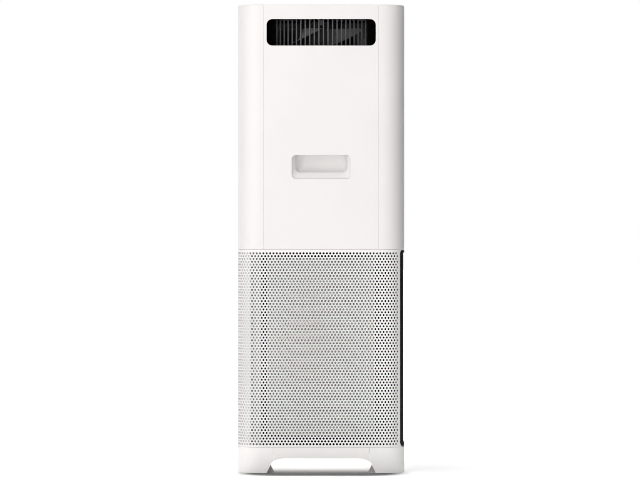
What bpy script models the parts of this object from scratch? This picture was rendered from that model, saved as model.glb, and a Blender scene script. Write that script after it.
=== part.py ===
"""Tower air purifier: a square casing over a filter drawer and two fans.

The origin is on the floor at the middle of the footprint. -Y is the rear face with the outlet
window and the finger recess, +X the filter drawer, +Y the control face. Lengths are in metres.
"""
from math import ceil, cos, pi, radians, sin, sqrt

import bmesh
import bpy

# Whole body: a square plan with eased corners
HEIGHT = 0.735
HALF = 0.131
CORNER = 0.038
SQUARENESS = 2.25
CORNER_STEPS = 8
WALL = 0.0025
GAP = 0.0003

# Levels and seams
BASE_TOP = 0.041
SPLIT = 0.351
SEAM_X = 0.090
SEAM_GAP = 0.00025

# Base
SKIRT_BOTTOM = 0.0008
SKIRT_WALL = 0.003
DECK_BOTTOM = 0.033
BOSS_EDGE = 0.0803
ARCH_FLAT = 0.056
ARCH_EDGE = 0.080
ARCH_FOOT = 0.086
ARCH_SPRING = 0.012
ARCH_TOP = 0.024
APRON_HALF = 0.0753
APRON_DEPTH = 0.0027
PAD_FLOOR_EDGE = 0.0744
PAD_TOP_EDGE = 0.0806
PAD_FRONT_EDGE = 0.0835
PAD_OUTER = 0.112
PAD_HEIGHT = 0.012
PAD_POCKET_OVERLAP = 0.002
CORNER_SIGNS = ((-1, -1), (1, -1), (1, 1), (-1, 1))
SCREW_X = 0.070
SCREW_SHANK = 0.0019
SCREW_HEAD = 0.0040

# Power inlet, in the left-hand apron
INLET_Z = 0.0325
INLET_HALF_WIDTH = 0.0105
INLET_HALF_HEIGHT = 0.0060
INLET_DEPTH = 0.018
INLET_SOCKET_DEPTH = 0.012
INLET_PIN_RADIUS = 0.0012
INLET_PIN_SPACING = 0.0086
INLET_RADIUS = 0.0027
INLET_HOLE_RADIUS = 0.0030
SOCKET_RADIUS = 0.0040
SOCKET_SIDE = 0.0027
SOCKET_ROOF = 0.0018

# Filter bay
COVER_WALL = 0.0016
DOOR_EDGE_ANGLE = 52.7
DOOR_GAP_ANGLE = 0.45
DOOR_INSET = 0.001
DOOR_WALL = 0.0025
DOOR_BOTTOM = 0.0428
DOOR_TOP = 0.3500
DOOR_BORDER = 0.004
DOOR_BORDER_ANGLE = 5.0
DOOR_PANEL_ROOM = 0.35
DOOR_PANEL_WALL = 0.0014
POST_CENTRE = 0.1015
POST_HALF = 0.0065
RAIL_Y = 0.0935
RAIL_HALF_WIDTH = 0.0024
RAIL_REACH = 0.094
RAIL_TOP = 0.050

# Filter cartridge and its drawer
TRAY_BOTTOM = 0.0420
TRAY_TOP = 0.0460
TRAY_REACH = 0.0900
TRAY_BEND = 0.070
CAP_RADIUS = 0.0865
MESH_RADIUS = 0.0858
MEDIA_BOTTOM = 0.0563
MEDIA_TOP = 0.3382
CAP_TOP = 0.3465
GASKET_TOP = 0.3505
CORE_OUTER = 0.0595
CORE_BORE = 0.050
CAP_BORE = 0.048
GASKET_BORE = 0.070
GASKET_RADIUS = 0.080
MEDIA_BORE = 0.060

# Outlet window and finger recess in the rear panel
WINDOW_WIDTH = 0.171
WINDOW_BOTTOM = 0.6705
WINDOW_TOP = 0.7120
WINDOW_RADIUS = 0.009
RECESS_WIDTH = 0.0924
RECESS_BOTTOM = 0.4616
RECESS_TOP = 0.4992
RECESS_RADIUS = 0.007
RECESS_DEPTH = 0.027
RECESS_SLOPE = 0.011
RECESS_HOOK = 0.009
CUP_WALL = 0.002

# Air path
DUCT_WALL = 0.0025
LOWER_DUCT_RADIUS = 0.0950
UPPER_DUCT_RADIUS = 0.1155
LOWER_DUCT_TOP = 0.540
FLARE_START = 0.556
FLARE_END = 0.600
UPPER_DUCT_TOP = 0.7219
GRILLE_BOTTOM = 0.6630
GRILLE_TOP = 0.7160
GRILLE_HALF_ANGLE = 53.6
BAR_PITCH = 3.6
BAR_WIDTH_ANGLE = 1.25
BAR_COUNT = 22
BAR_RAIL = 0.003
MID_DECK_THICKNESS = 0.006
DECK_HOLE = 0.066

# Upper fan, behind the window
FAN_TOP = 0.700
FAN_BOTTOM = 0.668
FAN_TIP = 0.108
FAN_HUB = 0.070
FAN_HUB_WALL = 0.003
FAN_FIRST_BLADE = -79.3
FAN_BLADES = 9
SHAFT_RADIUS = 0.003
UPPER_MOTOR_RADIUS = 0.0265
UPPER_MOUNT_RADIUS = 0.033
UPPER_MOUNT_BOTTOM = 0.7023
UPPER_MOUNT_TOP = 0.7125
UPPER_ARM_COUNT = 5
UPPER_ARM_WIDTH = 0.005
UPPER_ARM_TURN = 54.0

# Lower fan, over the filter
IMPELLER_BOTTOM = 0.3745
IMPELLER_TOP = 0.4065
IMPELLER_RADIUS = 0.078
IMPELLER_EYE = 0.052
IMPELLER_BLADES = 11
IMPELLER_LEAN = -34.0
LOWER_MOTOR_RADIUS = 0.038
LOWER_MOTOR_BOTTOM = 0.4095
LOWER_MOTOR_TOP = 0.4440
LOWER_MOUNT_RADIUS = 0.042
LOWER_MOUNT_THICKNESS = 0.008
LOWER_VANE_COUNT = 7
LOWER_VANE_WIDTH = 0.003

# Top
TOP_FRAME_BOTTOM = 0.7275
TOP_FRAME_TOP = 0.7325
OUTLET_RADIUS = 0.105
OUTLET_GRILLE_RADIUS = 0.1085
OUTLET_GRILLE_BOTTOM = 0.7222
OUTLET_GRILLE_TOP = 0.7272
OUTLET_EYE = 0.0012
OUTLET_DISC = 0.0240
OUTLET_RING_PITCH = 0.0169
OUTLET_RING_WIDTH = 0.0060
POWER_BUTTON_Y = 0.117
POWER_BUTTON_RADIUS = 0.006
POWER_BUTTON_BOTTOM = 0.7250
POWER_BUTTON_RISE = 0.0007
BUTTON_BOARD_HALF = 0.011
BUTTON_BOARD_NEAR = 0.1110
BUTTON_BOARD_FAR = 0.1235
BUTTON_BOARD_THICKNESS = 0.0012

# Control face
DISPLAY_Z = 0.640
DISPLAY_RADIUS = 0.024
MODE_BUTTON_Z = 0.596
MODE_BUTTON_RADIUS = 0.0065
MODE_BUTTON_DEPTH = 0.0080
MODULE_HALF = 0.016
MODULE_NEAR = 0.0030
MODULE_FAR = 0.0070
CONTROL_BOARD_HALF = 0.033
CONTROL_BOARD_DEPTH = 0.0110
CONTROL_BOARD_BELOW = 0.010
CONTROL_BOARD_ABOVE = 0.030
BOARD_THICKNESS = 0.0016

# Air-quality sensor, on the left-hand side
SENSOR_Z = 0.415
SENSOR_VENT_WIDTH = 0.030
SENSOR_VENT_HEIGHT = 0.012
SENSOR_NEAR = 0.0034
SENSOR_FAR = 0.0240
SENSOR_HALF_WIDTH = 0.022
SENSOR_HALF_HEIGHT = 0.019

# Power supply, across the rear left corner
SUPPLY_REACH = 0.137
SUPPLY_HALF_WIDTH = 0.028
SUPPLY_BOTTOM = 0.392
SUPPLY_TOP = 0.482
TRANSFORMER_REACH = 0.1187
TRANSFORMER_DEPTH = 0.018
TRANSFORMER_HALF_WIDTH = 0.012
TRANSFORMER_BOTTOM = 0.420
TRANSFORMER_TOP = 0.448


# ---------------------------------------------------------------- scene and materials

def clear_scene():
    for thing in list(bpy.data.objects):
        bpy.data.objects.remove(thing, do_unlink=True)


def material(name, colour, roughness, metallic=0.0):
    found = bpy.data.materials.new(name)
    found.use_nodes = True
    shader = found.node_tree.nodes["Principled BSDF"]
    shader.inputs["Base Color"].default_value = (*colour, 1.0)
    shader.inputs["Roughness"].default_value = roughness
    shader.inputs["Metallic"].default_value = metallic
    found.diffuse_color = (*colour, 1.0)
    return found


def make_materials():
    return {
        "casing": material("casing_white", (0.88, 0.86, 0.85), 0.42),
        "cover": material("cover_white", (0.86, 0.84, 0.83), 0.45),
        "base": material("base_white", (0.84, 0.83, 0.81), 0.48),
        "black": material("black_plastic", (0.012, 0.012, 0.013), 0.45),
        "fan": material("fan_grey", (0.07, 0.07, 0.075), 0.50),
        "frame": material("frame_white", (0.78, 0.77, 0.75), 0.55),
        "rubber": material("foot_rubber", (0.10, 0.10, 0.10), 0.80),
        "glass": material("display_glass", (0.01, 0.01, 0.012), 0.08),
        "board": material("circuit_board", (0.02, 0.13, 0.06), 0.45),
        "steel": material("steel", (0.62, 0.62, 0.64), 0.30, 1.0),
        "mesh": material("prefilter_mesh", (0.25, 0.24, 0.22), 0.75),
        "media": material("filter_paper", (0.78, 0.77, 0.72), 0.90),
        "carbon": material("carbon", (0.03, 0.03, 0.03), 0.85),
        "foam": material("gasket_foam", (0.16, 0.16, 0.17), 0.95),
    }


# ---------------------------------------------------------------- mesh tools

def add_object(name, body, finish, smooth_angle=35.0):
    bmesh.ops.recalc_face_normals(body, faces=body.faces)
    mesh = bpy.data.meshes.new(name)
    body.to_mesh(mesh)
    body.free()
    mesh.shade_smooth()
    mesh.set_sharp_from_angle(angle=radians(smooth_angle))
    thing = bpy.data.objects.new(name, mesh)
    bpy.context.scene.collection.objects.link(thing)
    if finish is not None:
        mesh.materials.append(finish)
    return thing


def prism(name, points, low, high, finish, place=None):
    """Closed solid: a flat outline swept from low to high. place(u, v, w) turns it into the world."""
    place = place or (lambda u, v, w: (u, v, w))
    body = bmesh.new()
    bottom = [body.verts.new(place(u, v, low)) for u, v in points]
    top = [body.verts.new(place(u, v, high)) for u, v in points]
    body.faces.new(bottom)
    body.faces.new(top)
    for index in range(len(points)):
        after = (index + 1) % len(points)
        body.faces.new((bottom[index], bottom[after], top[after], top[index]))
    return add_object(name, body, finish)


def block(name, low, high, finish):
    corners = [(low[0], low[1]), (high[0], low[1]), (high[0], high[1]), (low[0], high[1])]
    return prism(name, corners, low[2], high[2], finish)


def turned(name, profile, finish, segments=36, centre=(0.0, 0.0), closed=True):
    """Body turned about a vertical axis. A closed profile is a ring; an open one runs axis to axis."""
    body = bmesh.new()
    rings = []
    for radius, height in profile:
        if radius == 0.0:
            rings.append([body.verts.new((centre[0], centre[1], height))])
            continue
        ring = []
        for step in range(segments):
            angle = 2.0 * pi * step / segments
            ring.append(body.verts.new((centre[0] + radius * cos(angle),
                                        centre[1] + radius * sin(angle), height)))
        rings.append(ring)
    pairs = list(zip(rings, rings[1:] + rings[:1])) if closed else list(zip(rings, rings[1:]))
    for first, second in pairs:
        for step in range(segments):
            after = (step + 1) % segments
            if len(first) == 1:
                body.faces.new((first[0], second[step], second[after]))
            elif len(second) == 1:
                body.faces.new((first[step], second[0], first[after]))
            else:
                body.faces.new((first[step], second[step], second[after], first[after]))
    return add_object(name, body, finish)


def cylinder(name, radius, low, high, finish, segments=32, centre=(0.0, 0.0)):
    profile = [(0.0, low), (radius, low), (radius, high), (0.0, high)]
    return turned(name, profile, finish, segments, centre, closed=False)


def tube(name, bore, radius, low, high, finish, segments=36):
    profile = [(bore, low), (radius, low), (radius, high), (bore, high)]
    return turned(name, profile, finish, segments)


def cell_sheet(name, columns, rows, filled, place, finish, wrap=False):
    """Sheet with openings: each filled cell of a grid is a closed patch between two skins.

    place(u, v, side) gives a point on the outer skin (side 0) or the inner one (side 1).
    """
    body = bmesh.new()
    made = {}
    last = len(columns) - 1

    def vertex(i, j, side):
        i = 0 if wrap and i == last else i
        if (i, j, side) not in made:
            made[(i, j, side)] = body.verts.new(place(columns[i], rows[j], side))
        return made[(i, j, side)]

    def is_filled(i, j):
        if wrap:
            i %= last
        return 0 <= i < last and 0 <= j < len(rows) - 1 and filled(i, j)

    for i in range(last):
        for j in range(len(rows) - 1):
            if not is_filled(i, j):
                continue
            square = [(i, j), (i + 1, j), (i + 1, j + 1), (i, j + 1)]
            beyond = [(i, j - 1), (i + 1, j), (i, j + 1), (i - 1, j)]
            body.faces.new([vertex(a, b, 0) for a, b in square])
            body.faces.new([vertex(a, b, 1) for a, b in reversed(square)])
            for side in range(4):
                if is_filled(*beyond[side]):
                    continue
                start = square[side]
                stop = square[(side + 1) % 4]
                body.faces.new((vertex(*start, 0), vertex(*start, 1), vertex(*stop, 1), vertex(*stop, 0)))
    return add_object(name, body, finish)


def cutter(thing):
    thing.hide_render = True
    thing.display_type = "WIRE"
    return thing


def cut(thing, *tools, operation="DIFFERENCE"):
    for tool in tools:
        cutter(tool)
        change = thing.modifiers.new(f"{operation.lower()} {tool.name}", "BOOLEAN")
        change.operation = operation
        change.object = tool
    return thing


def rounded_rectangle(half_width, half_height, radius, steps=5):
    points = []
    for quarter, (across, up) in enumerate(((1, 1), (-1, 1), (-1, -1), (1, -1))):
        for step in range(steps + 1):
            angle = radians(90.0 * (quarter + step / steps))
            points.append((across * (half_width - radius) + radius * cos(angle),
                           up * (half_height - radius) + radius * sin(angle)))
    return points


def facing_rear(u, v, w):
    """An outline drawn in X and Z, swept along Y."""
    return (u, w, v)


def facing_side(u, v, w):
    """An outline drawn in Y and Z, swept along X."""
    return (w, u, v)


# ---------------------------------------------------------------- the body's plan outline

def corner_point(corner, degrees, inset):
    """A point on one eased corner. Corners run anticlockwise from (+X, -Y); degrees go 0 to 90."""
    angle = radians(90.0 * (corner - 1) + degrees)
    reach = CORNER - inset
    across = 1 if corner in (0, 1) else -1
    along = 1 if corner in (1, 2) else -1
    power = 2.0 / SQUARENESS
    wide = reach * abs(cos(angle)) ** power
    deep = reach * abs(sin(angle)) ** power
    return (across * (HALF - CORNER + wide), along * (HALF - CORNER + deep))


def plan_path(inset, spans, start_x=None, stop_x=None):
    """Points along the outline through spans of (corner, from degrees, to degrees)."""
    points = []
    if start_x is not None:
        side = 1 if spans[0][0] in (1, 2) else -1
        points.append((start_x, side * (HALF - inset)))
    for corner, begin, end in spans:
        steps = max(1, ceil(CORNER_STEPS * (end - begin) / 90.0))
        for step in range(steps + 1):
            points.append(corner_point(corner, begin + (end - begin) * step / steps, inset))
    if stop_x is not None:
        side = 1 if spans[-1][0] in (1, 2) else -1
        points.append((stop_x, side * (HALF - inset)))
    return points


ALL_CORNERS = [(corner, 0.0, 90.0) for corner in range(4)]


def plan_plate(name, inset, low, high, finish):
    return prism(name, plan_path(inset, ALL_CORNERS), low, high, finish)


def plan_wall(name, spans, outer, inner, low, high, finish, start_x=None, stop_x=None):
    outside = plan_path(outer, spans, start_x, stop_x)
    inside = plan_path(inner, spans, start_x, stop_x)
    return prism(name, outside + inside[::-1], low, high, finish)


# ---------------------------------------------------------------- base

def arch_edge(highest_x):
    """Right-hand half of the arch from its flat top outwards, up to highest_x."""
    points = []
    steps = 6
    for step in range(steps + 1):
        angle = radians(90.0 - 90.0 * step / steps)
        across = ARCH_FLAT + (ARCH_EDGE - ARCH_FLAT) * cos(angle)
        up = ARCH_SPRING + (ARCH_TOP - ARCH_SPRING) * sin(angle)
        if across < highest_x:
            points.append((across, up))
    return points


def arch_tool(name, place):
    below = -0.002
    slope = (ARCH_FOOT - ARCH_EDGE) / ARCH_SPRING
    right = arch_edge(ARCH_EDGE + GAP) + [(ARCH_FOOT - slope * below, below)]
    left = [(-across, up) for across, up in reversed(right)]
    return prism(name, right + left, -HALF - 0.01, HALF + 0.01, None, place)


def make_base_frame(finish):
    frame = plan_plate("base_frame", 0.0, SKIRT_BOTTOM, BASE_TOP, finish)
    inner = HALF - SKIRT_WALL
    below = -0.01
    tools = [
        block("base_hollow_x", (-inner, -BOSS_EDGE, below), (inner, BOSS_EDGE, DECK_BOTTOM), None),
        block("base_hollow_y", (-BOSS_EDGE, -inner, below), (BOSS_EDGE, inner, DECK_BOTTOM), None),
        arch_tool("base_arch_y", facing_rear),
        arch_tool("base_arch_x", facing_side),
    ]
    notch = APRON_HALF + 0.0002
    face = HALF - SKIRT_WALL
    for sign, word in ((-1, "low"), (1, "high")):
        near, far = sorted((sign * face, sign * (HALF + 0.01)))
        tools.append(block(f"apron_notch_y_{word}", (-notch, near, below), (notch, far, 0.05), None))
        tools.append(block(f"apron_notch_x_{word}", (near, -notch, below), (far, notch, 0.05), None))
    edge = PAD_OUTER + GAP
    for number, (across, along) in enumerate(CORNER_SIGNS, 1):
        low_x, high_x = sorted((across * (BOSS_EDGE - PAD_POCKET_OVERLAP), across * edge))
        low_y, high_y = sorted((along * (BOSS_EDGE - PAD_POCKET_OVERLAP), along * edge))
        tools.append(block(f"pad_pocket_{number}", (low_x, low_y, below),
                           (high_x, high_y, PAD_HEIGHT + GAP), None))
    room = 0.0006
    tools.append(block("inlet_notch",
                       (-HALF - 0.01, -INLET_HALF_WIDTH - room, INLET_Z - INLET_HALF_HEIGHT - room),
                       (-HALF + INLET_DEPTH + room, INLET_HALF_WIDTH + room,
                        INLET_Z + INLET_HALF_HEIGHT + room), None))
    for number, (across, along) in enumerate(CORNER_SIGNS, 1):
        tools.append(cylinder(f"screw_hole_{number}", SCREW_SHANK + GAP, DECK_BOTTOM - 0.001,
                              BASE_TOP + 0.001, None, 12, (across * SCREW_X, along * RAIL_Y)))
    return cut(frame, *tools)


def make_foot_pads(finish):
    """Rubber feet: the rear pair flares inwards at the floor, the front pair is straight."""
    for number, (across, along) in enumerate(CORNER_SIGNS, 1):
        edges = (PAD_FLOOR_EDGE, PAD_TOP_EDGE) if along < 0 else (PAD_FRONT_EDGE, PAD_FRONT_EDGE)
        body = bmesh.new()
        rings = []
        for inner, height in zip(edges, (0.0, PAD_HEIGHT)):
            corners = ((inner, inner), (PAD_OUTER, inner), (PAD_OUTER, PAD_OUTER), (inner, PAD_OUTER))
            rings.append([body.verts.new((across * x, along * y, height)) for x, y in corners])
        body.faces.new(rings[0])
        body.faces.new(rings[1])
        for side in range(4):
            after = (side + 1) % 4
            body.faces.new((rings[0][side], rings[0][after], rings[1][after], rings[1][side]))
        add_object(f"foot_pad_{number}", body, finish)


def make_aprons(finish):
    """Four plates between the feet, following the arch along their lower edge."""
    right = [(APRON_HALF - GAP, BASE_TOP), (APRON_HALF - GAP, 0.0)]
    curve = arch_edge(APRON_HALF - GAP)
    share = (APRON_HALF - GAP - ARCH_FLAT) / (ARCH_EDGE - ARCH_FLAT)
    right[1] = (right[1][0], ARCH_SPRING + (ARCH_TOP - ARCH_SPRING) * sqrt(1.0 - share * share))
    half = right + curve[::-1]
    outline = half + [(-across, up) for across, up in reversed(half)]
    names = (("rear_apron", -1, facing_rear), ("front_apron", 1, facing_rear),
             ("left_apron", -1, facing_side), ("right_apron", 1, facing_side))
    for name, sign, place in names:
        near, far = sorted((sign * HALF, sign * (HALF - APRON_DEPTH)))
        apron = prism(name, outline, near, far, finish, place)
        if name == "left_apron":
            hole = rounded_rectangle(INLET_HALF_WIDTH + GAP, INLET_HALF_HEIGHT + GAP, INLET_HOLE_RADIUS)
            hole = [(across, up + INLET_Z) for across, up in hole]
            cut(apron, prism("inlet_hole", hole, -HALF - 0.01, -HALF + 0.01, None, facing_side))


def make_power_inlet(finish):
    """Two-pin inlet: a shell round a rounded socket, with its pins standing in it."""
    outline = [(a, b + INLET_Z) for a, b in
               rounded_rectangle(INLET_HALF_WIDTH, INLET_HALF_HEIGHT, INLET_RADIUS)]
    inlet = prism("power_inlet", outline, -HALF + 0.0001, -HALF + INLET_DEPTH, finish, facing_side)
    socket = [(a, b + INLET_Z) for a, b in
              rounded_rectangle(INLET_HALF_WIDTH - SOCKET_SIDE, INLET_HALF_HEIGHT - SOCKET_ROOF,
                                SOCKET_RADIUS)]
    cut(inlet, prism("inlet_socket", socket, -HALF - 0.01, -HALF + INLET_SOCKET_DEPTH, None, facing_side))
    for sign, word in ((-1, "near"), (1, "far")):
        pin = [(sign * INLET_PIN_SPACING / 2 + INLET_PIN_RADIUS * cos(radians(36 * k)),
                INLET_Z + INLET_PIN_RADIUS * sin(radians(36 * k))) for k in range(10)]
        stud = prism(f"inlet_pin_{word}", pin, -HALF + 0.002, -HALF + INLET_SOCKET_DEPTH + 0.002,
                     None, facing_side)
        cut(inlet, stud, operation="UNION")


def make_base_screws(finish):
    for number, (across, along) in enumerate(CORNER_SIGNS, 1):
        head_top = DECK_BOTTOM - GAP
        profile = [(0.0, head_top - 0.0028), (SCREW_HEAD * 0.7, head_top - 0.0028),
                   (SCREW_HEAD, head_top - 0.0016), (SCREW_HEAD, head_top),
                   (SCREW_SHANK, head_top), (SCREW_SHANK, BASE_TOP - GAP), (0.0, BASE_TOP - GAP)]
        turned(f"base_screw_{number}", profile, finish, 16,
               (across * SCREW_X, along * RAIL_Y), closed=False)


# ---------------------------------------------------------------- filter bay

def make_corner_posts(finish):
    """Upright posts, with the outward corner bevelled to stay inside the cover."""
    for number, (across, along) in enumerate(CORNER_SIGNS, 1):
        near = POST_CENTRE - POST_HALF
        far = POST_CENTRE + POST_HALF
        shape = [(near, near), (far, near), (far, POST_CENTRE), (POST_CENTRE, far), (near, far)]
        points = [(across * x, along * y) for x, y in shape]
        prism(f"corner_post_{number}", points, BASE_TOP + GAP, SPLIT + GAP, finish)


def make_perforated_cover(finish):
    clear = DOOR_GAP_ANGLE
    spans = [(1, 90.0 - DOOR_EDGE_ANGLE + clear, 90.0), (2, 0.0, 90.0), (3, 0.0, 90.0),
             (0, 0.0, DOOR_EDGE_ANGLE - clear)]
    plan_wall("perforated_cover", spans, 0.0, COVER_WALL, BASE_TOP + GAP, SPLIT - GAP, finish)


def make_drawer_rails(finish):
    for sign, word in ((-1, "rear"), (1, "front")):
        low, high = sorted((sign * (RAIL_Y - RAIL_HALF_WIDTH), sign * (RAIL_Y + RAIL_HALF_WIDTH)))
        block(f"drawer_rail_{word}", (-RAIL_REACH, low, BASE_TOP + GAP), (RAIL_REACH, high, RAIL_TOP), finish)


def door_spans(edge):
    return [(0, DOOR_EDGE_ANGLE + edge, 90.0), (1, 0.0, 90.0 - DOOR_EDGE_ANGLE - edge)]


def make_door(frame_finish, panel_finish):
    """Black drawer front: a flush border, and a panel set back inside it."""
    outer = plan_path(0.0, door_spans(DOOR_GAP_ANGLE))
    inner = plan_path(DOOR_WALL, door_spans(DOOR_GAP_ANGLE))
    edge_outer = plan_path(0.0, door_spans(DOOR_BORDER_ANGLE))
    edge_inner = plan_path(DOOR_WALL, door_spans(DOOR_BORDER_ANGLE))
    outside = [outer[0]] + edge_outer + [outer[-1]]
    inside = [inner[0]] + edge_inner + [inner[-1]]
    levels = [DOOR_BOTTOM, DOOR_BOTTOM + DOOR_BORDER, DOOR_TOP - DOOR_BORDER, DOOR_TOP]
    count = len(outside)

    def place(u, v, side):
        point = (inside if side else outside)[u]
        return (*point, v)

    def filled(i, j):
        return j != 1 or i in (0, count - 2)

    cell_sheet("door_frame", list(range(count)), levels, filled, place, frame_finish)
    plan_wall("door_panel", door_spans(DOOR_BORDER_ANGLE + DOOR_PANEL_ROOM), DOOR_INSET,
              DOOR_INSET + DOOR_PANEL_WALL, levels[1] + GAP, levels[2] - GAP, panel_finish)


def make_cartridge(finishes):
    """Filter cartridge standing on the drawer's tray."""
    front = HALF - DOOR_INSET - DOOR_WALL - 0.0008
    back = -TRAY_REACH + 0.001
    tray = [(front, -TRAY_REACH), (front, TRAY_REACH), (-TRAY_BEND, TRAY_REACH), (back, TRAY_BEND),
            (back, -TRAY_BEND), (-TRAY_BEND, -TRAY_REACH)]
    prism("drawer_tray", tray, TRAY_BOTTOM, TRAY_TOP, finishes["black"])
    cylinder("filter_bottom_cap", CAP_RADIUS, TRAY_TOP + GAP, MEDIA_BOTTOM - GAP, finishes["black"], 36)
    tube("filter_top_cap", CAP_BORE, CAP_RADIUS, MEDIA_TOP + GAP, CAP_TOP, finishes["black"])
    tube("filter_mesh", MESH_RADIUS - 0.0012, MESH_RADIUS, MEDIA_BOTTOM, MEDIA_TOP, finishes["mesh"])
    tube("filter_media", MEDIA_BORE, MESH_RADIUS - 0.0016, MEDIA_BOTTOM, MEDIA_TOP, finishes["media"])
    tube("carbon_core", CORE_BORE, CORE_OUTER, MEDIA_BOTTOM, MEDIA_TOP, finishes["carbon"])
    tube("filter_gasket", GASKET_BORE, GASKET_RADIUS, CAP_TOP + GAP, GASKET_TOP, finishes["foam"])


# ---------------------------------------------------------------- air path

def make_mid_deck(finish):
    bottom = SPLIT + 0.0006
    deck = plan_plate("mid_deck", WALL + GAP, bottom, bottom + MID_DECK_THICKNESS, finish)
    cut(deck, cylinder("deck_hole", DECK_HOLE, SPLIT - 0.01, SPLIT + 0.02, None, 36))


def make_bell_mouth(finish):
    """Intake ring on the deck, curving in and up to the lower impeller's eye."""
    deck_top = SPLIT + 0.0006 + MID_DECK_THICKNESS
    low = deck_top + GAP
    throat = IMPELLER_EYE - 0.003
    flange = DECK_HOLE + 0.006
    steps = 3
    curl = 0.012
    profile = [(flange, low), (flange, low + 0.002)]
    for step in range(steps + 1):
        angle = radians(90.0 * step / steps)
        profile.append((throat + 0.002 + curl * (1 - sin(angle)), low + 0.002 + curl * (1 - cos(angle))))
    for step in range(steps, -1, -1):
        angle = radians(90.0 * step / steps)
        profile.append((throat + (curl + 0.002) * (1 - sin(angle)), low + (curl + 0.002) * (1 - cos(angle))))
    turned("bell_mouth", profile, finish)


def make_lower_duct(finish):
    low = SPLIT + 0.0006 + MID_DECK_THICKNESS + GAP
    tube("lower_duct", LOWER_DUCT_RADIUS - DUCT_WALL, LOWER_DUCT_RADIUS, low, LOWER_DUCT_TOP, finish)


def make_upper_duct(finish):
    """Duct that widens to the outlet, with the window's opening in its rear wall."""
    half = radians(GRILLE_HALF_ANGLE) + 0.003
    inside_steps = 12
    outside_steps = 22
    columns = [-pi / 2 - half + 2 * half * k / inside_steps for k in range(inside_steps)]
    rest = 2 * pi - 2 * half
    columns += [-pi / 2 + half + rest * k / outside_steps for k in range(outside_steps + 1)]
    rows = [LOWER_DUCT_TOP + GAP, FLARE_START, FLARE_END, GRILLE_BOTTOM - GAP, GRILLE_TOP + GAP,
            UPPER_DUCT_TOP]

    def radius_at(height):
        share = min(1.0, max(0.0, (height - FLARE_START) / (FLARE_END - FLARE_START)))
        return LOWER_DUCT_RADIUS + (UPPER_DUCT_RADIUS - LOWER_DUCT_RADIUS) * share

    def place(angle, height, side):
        radius = radius_at(height) - DUCT_WALL * side
        return (radius * cos(angle), radius * sin(angle), height)

    def filled(i, j):
        return not (j == 3 and i < inside_steps)

    cell_sheet("upper_duct", columns, rows, filled, place, finish, wrap=True)


def make_bar_grille(finish):
    """Curved insert of upright bars that closes the duct behind the window."""
    columns = [-GRILLE_HALF_ANGLE]
    for bar in range(BAR_COUNT):
        centre = (bar - (BAR_COUNT - 1) / 2) * BAR_PITCH
        columns += [centre - BAR_WIDTH_ANGLE / 2, centre + BAR_WIDTH_ANGLE / 2]
    columns.append(GRILLE_HALF_ANGLE)
    rows = [GRILLE_BOTTOM, GRILLE_BOTTOM + BAR_RAIL, GRILLE_TOP - BAR_RAIL, GRILLE_TOP]

    def place(degrees, height, side):
        angle = radians(degrees - 90.0)
        radius = UPPER_DUCT_RADIUS - DUCT_WALL * side
        return (radius * cos(angle), radius * sin(angle), height)

    def filled(i, j):
        return j != 1 or i % 2 == 1 or i in (0, len(columns) - 2)

    cell_sheet("bar_grille", columns, rows, filled, place, finish)


# ---------------------------------------------------------------- fans

def blade_set(name, count, inner, outer, root, tip, first_degrees=0.0, steps=5):
    """Thin blades in one helper mesh. root and tip are (low z, high z, low turn, high turn, thickness)."""
    body = bmesh.new()
    for blade in range(count):
        start = radians(first_degrees) + 2 * pi * blade / count
        rings = []
        for step in range(steps + 1):
            share = step / steps
            radius = inner + (outer - inner) * share
            low, high, low_turn, high_turn, thick = [a + (b - a) * share for a, b in zip(root, tip)]
            ring = []
            for height, turn, side in ((low, low_turn, -1), (low, low_turn, 1),
                                       (high, high_turn, 1), (high, high_turn, -1)):
                angle = start + radians(turn) + side * thick / (2 * radius)
                ring.append(body.verts.new((radius * cos(angle), radius * sin(angle), height)))
            rings.append(ring)
        body.faces.new(rings[0])
        body.faces.new(rings[-1])
        for first, second in zip(rings, rings[1:]):
            for side in range(4):
                after = (side + 1) % 4
                body.faces.new((first[side], first[after], second[after], second[side]))
    return cutter(add_object(name, body, None))


def make_upper_fan(finishes):
    """Mixed-flow fan: blades upright at the hub, leaning round with the turn towards their tips."""
    hub_floor = FAN_BOTTOM + FAN_HUB_WALL
    inner = FAN_HUB - FAN_HUB_WALL
    profile = [(0.0, FAN_BOTTOM), (FAN_HUB - 0.006, FAN_BOTTOM), (FAN_HUB, FAN_BOTTOM + 0.005),
               (FAN_HUB, FAN_TOP), (inner, FAN_TOP), (inner, hub_floor), (0.0, hub_floor)]
    hub = turned("upper_impeller", profile, finishes["fan"], closed=False)
    root = (FAN_BOTTOM + 0.006, FAN_TOP - 0.0005, 0.0, 0.0, 0.0022)
    tip = (FAN_BOTTOM + 0.0005, FAN_TOP, -6.2, 31.0, 0.0016)
    blades = blade_set("upper_blades", FAN_BLADES, FAN_HUB - 0.0015, FAN_TIP, root, tip, FAN_FIRST_BLADE, 4)
    cut(hub, blades, operation="UNION")
    cylinder("upper_shaft", SHAFT_RADIUS, hub_floor + GAP, UPPER_MOUNT_BOTTOM - GAP, finishes["steel"], 16)
    tube("upper_motor", SHAFT_RADIUS + 0.0012, UPPER_MOTOR_RADIUS, hub_floor + 0.0015,
         UPPER_MOUNT_BOTTOM - GAP, finishes["steel"])


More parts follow.
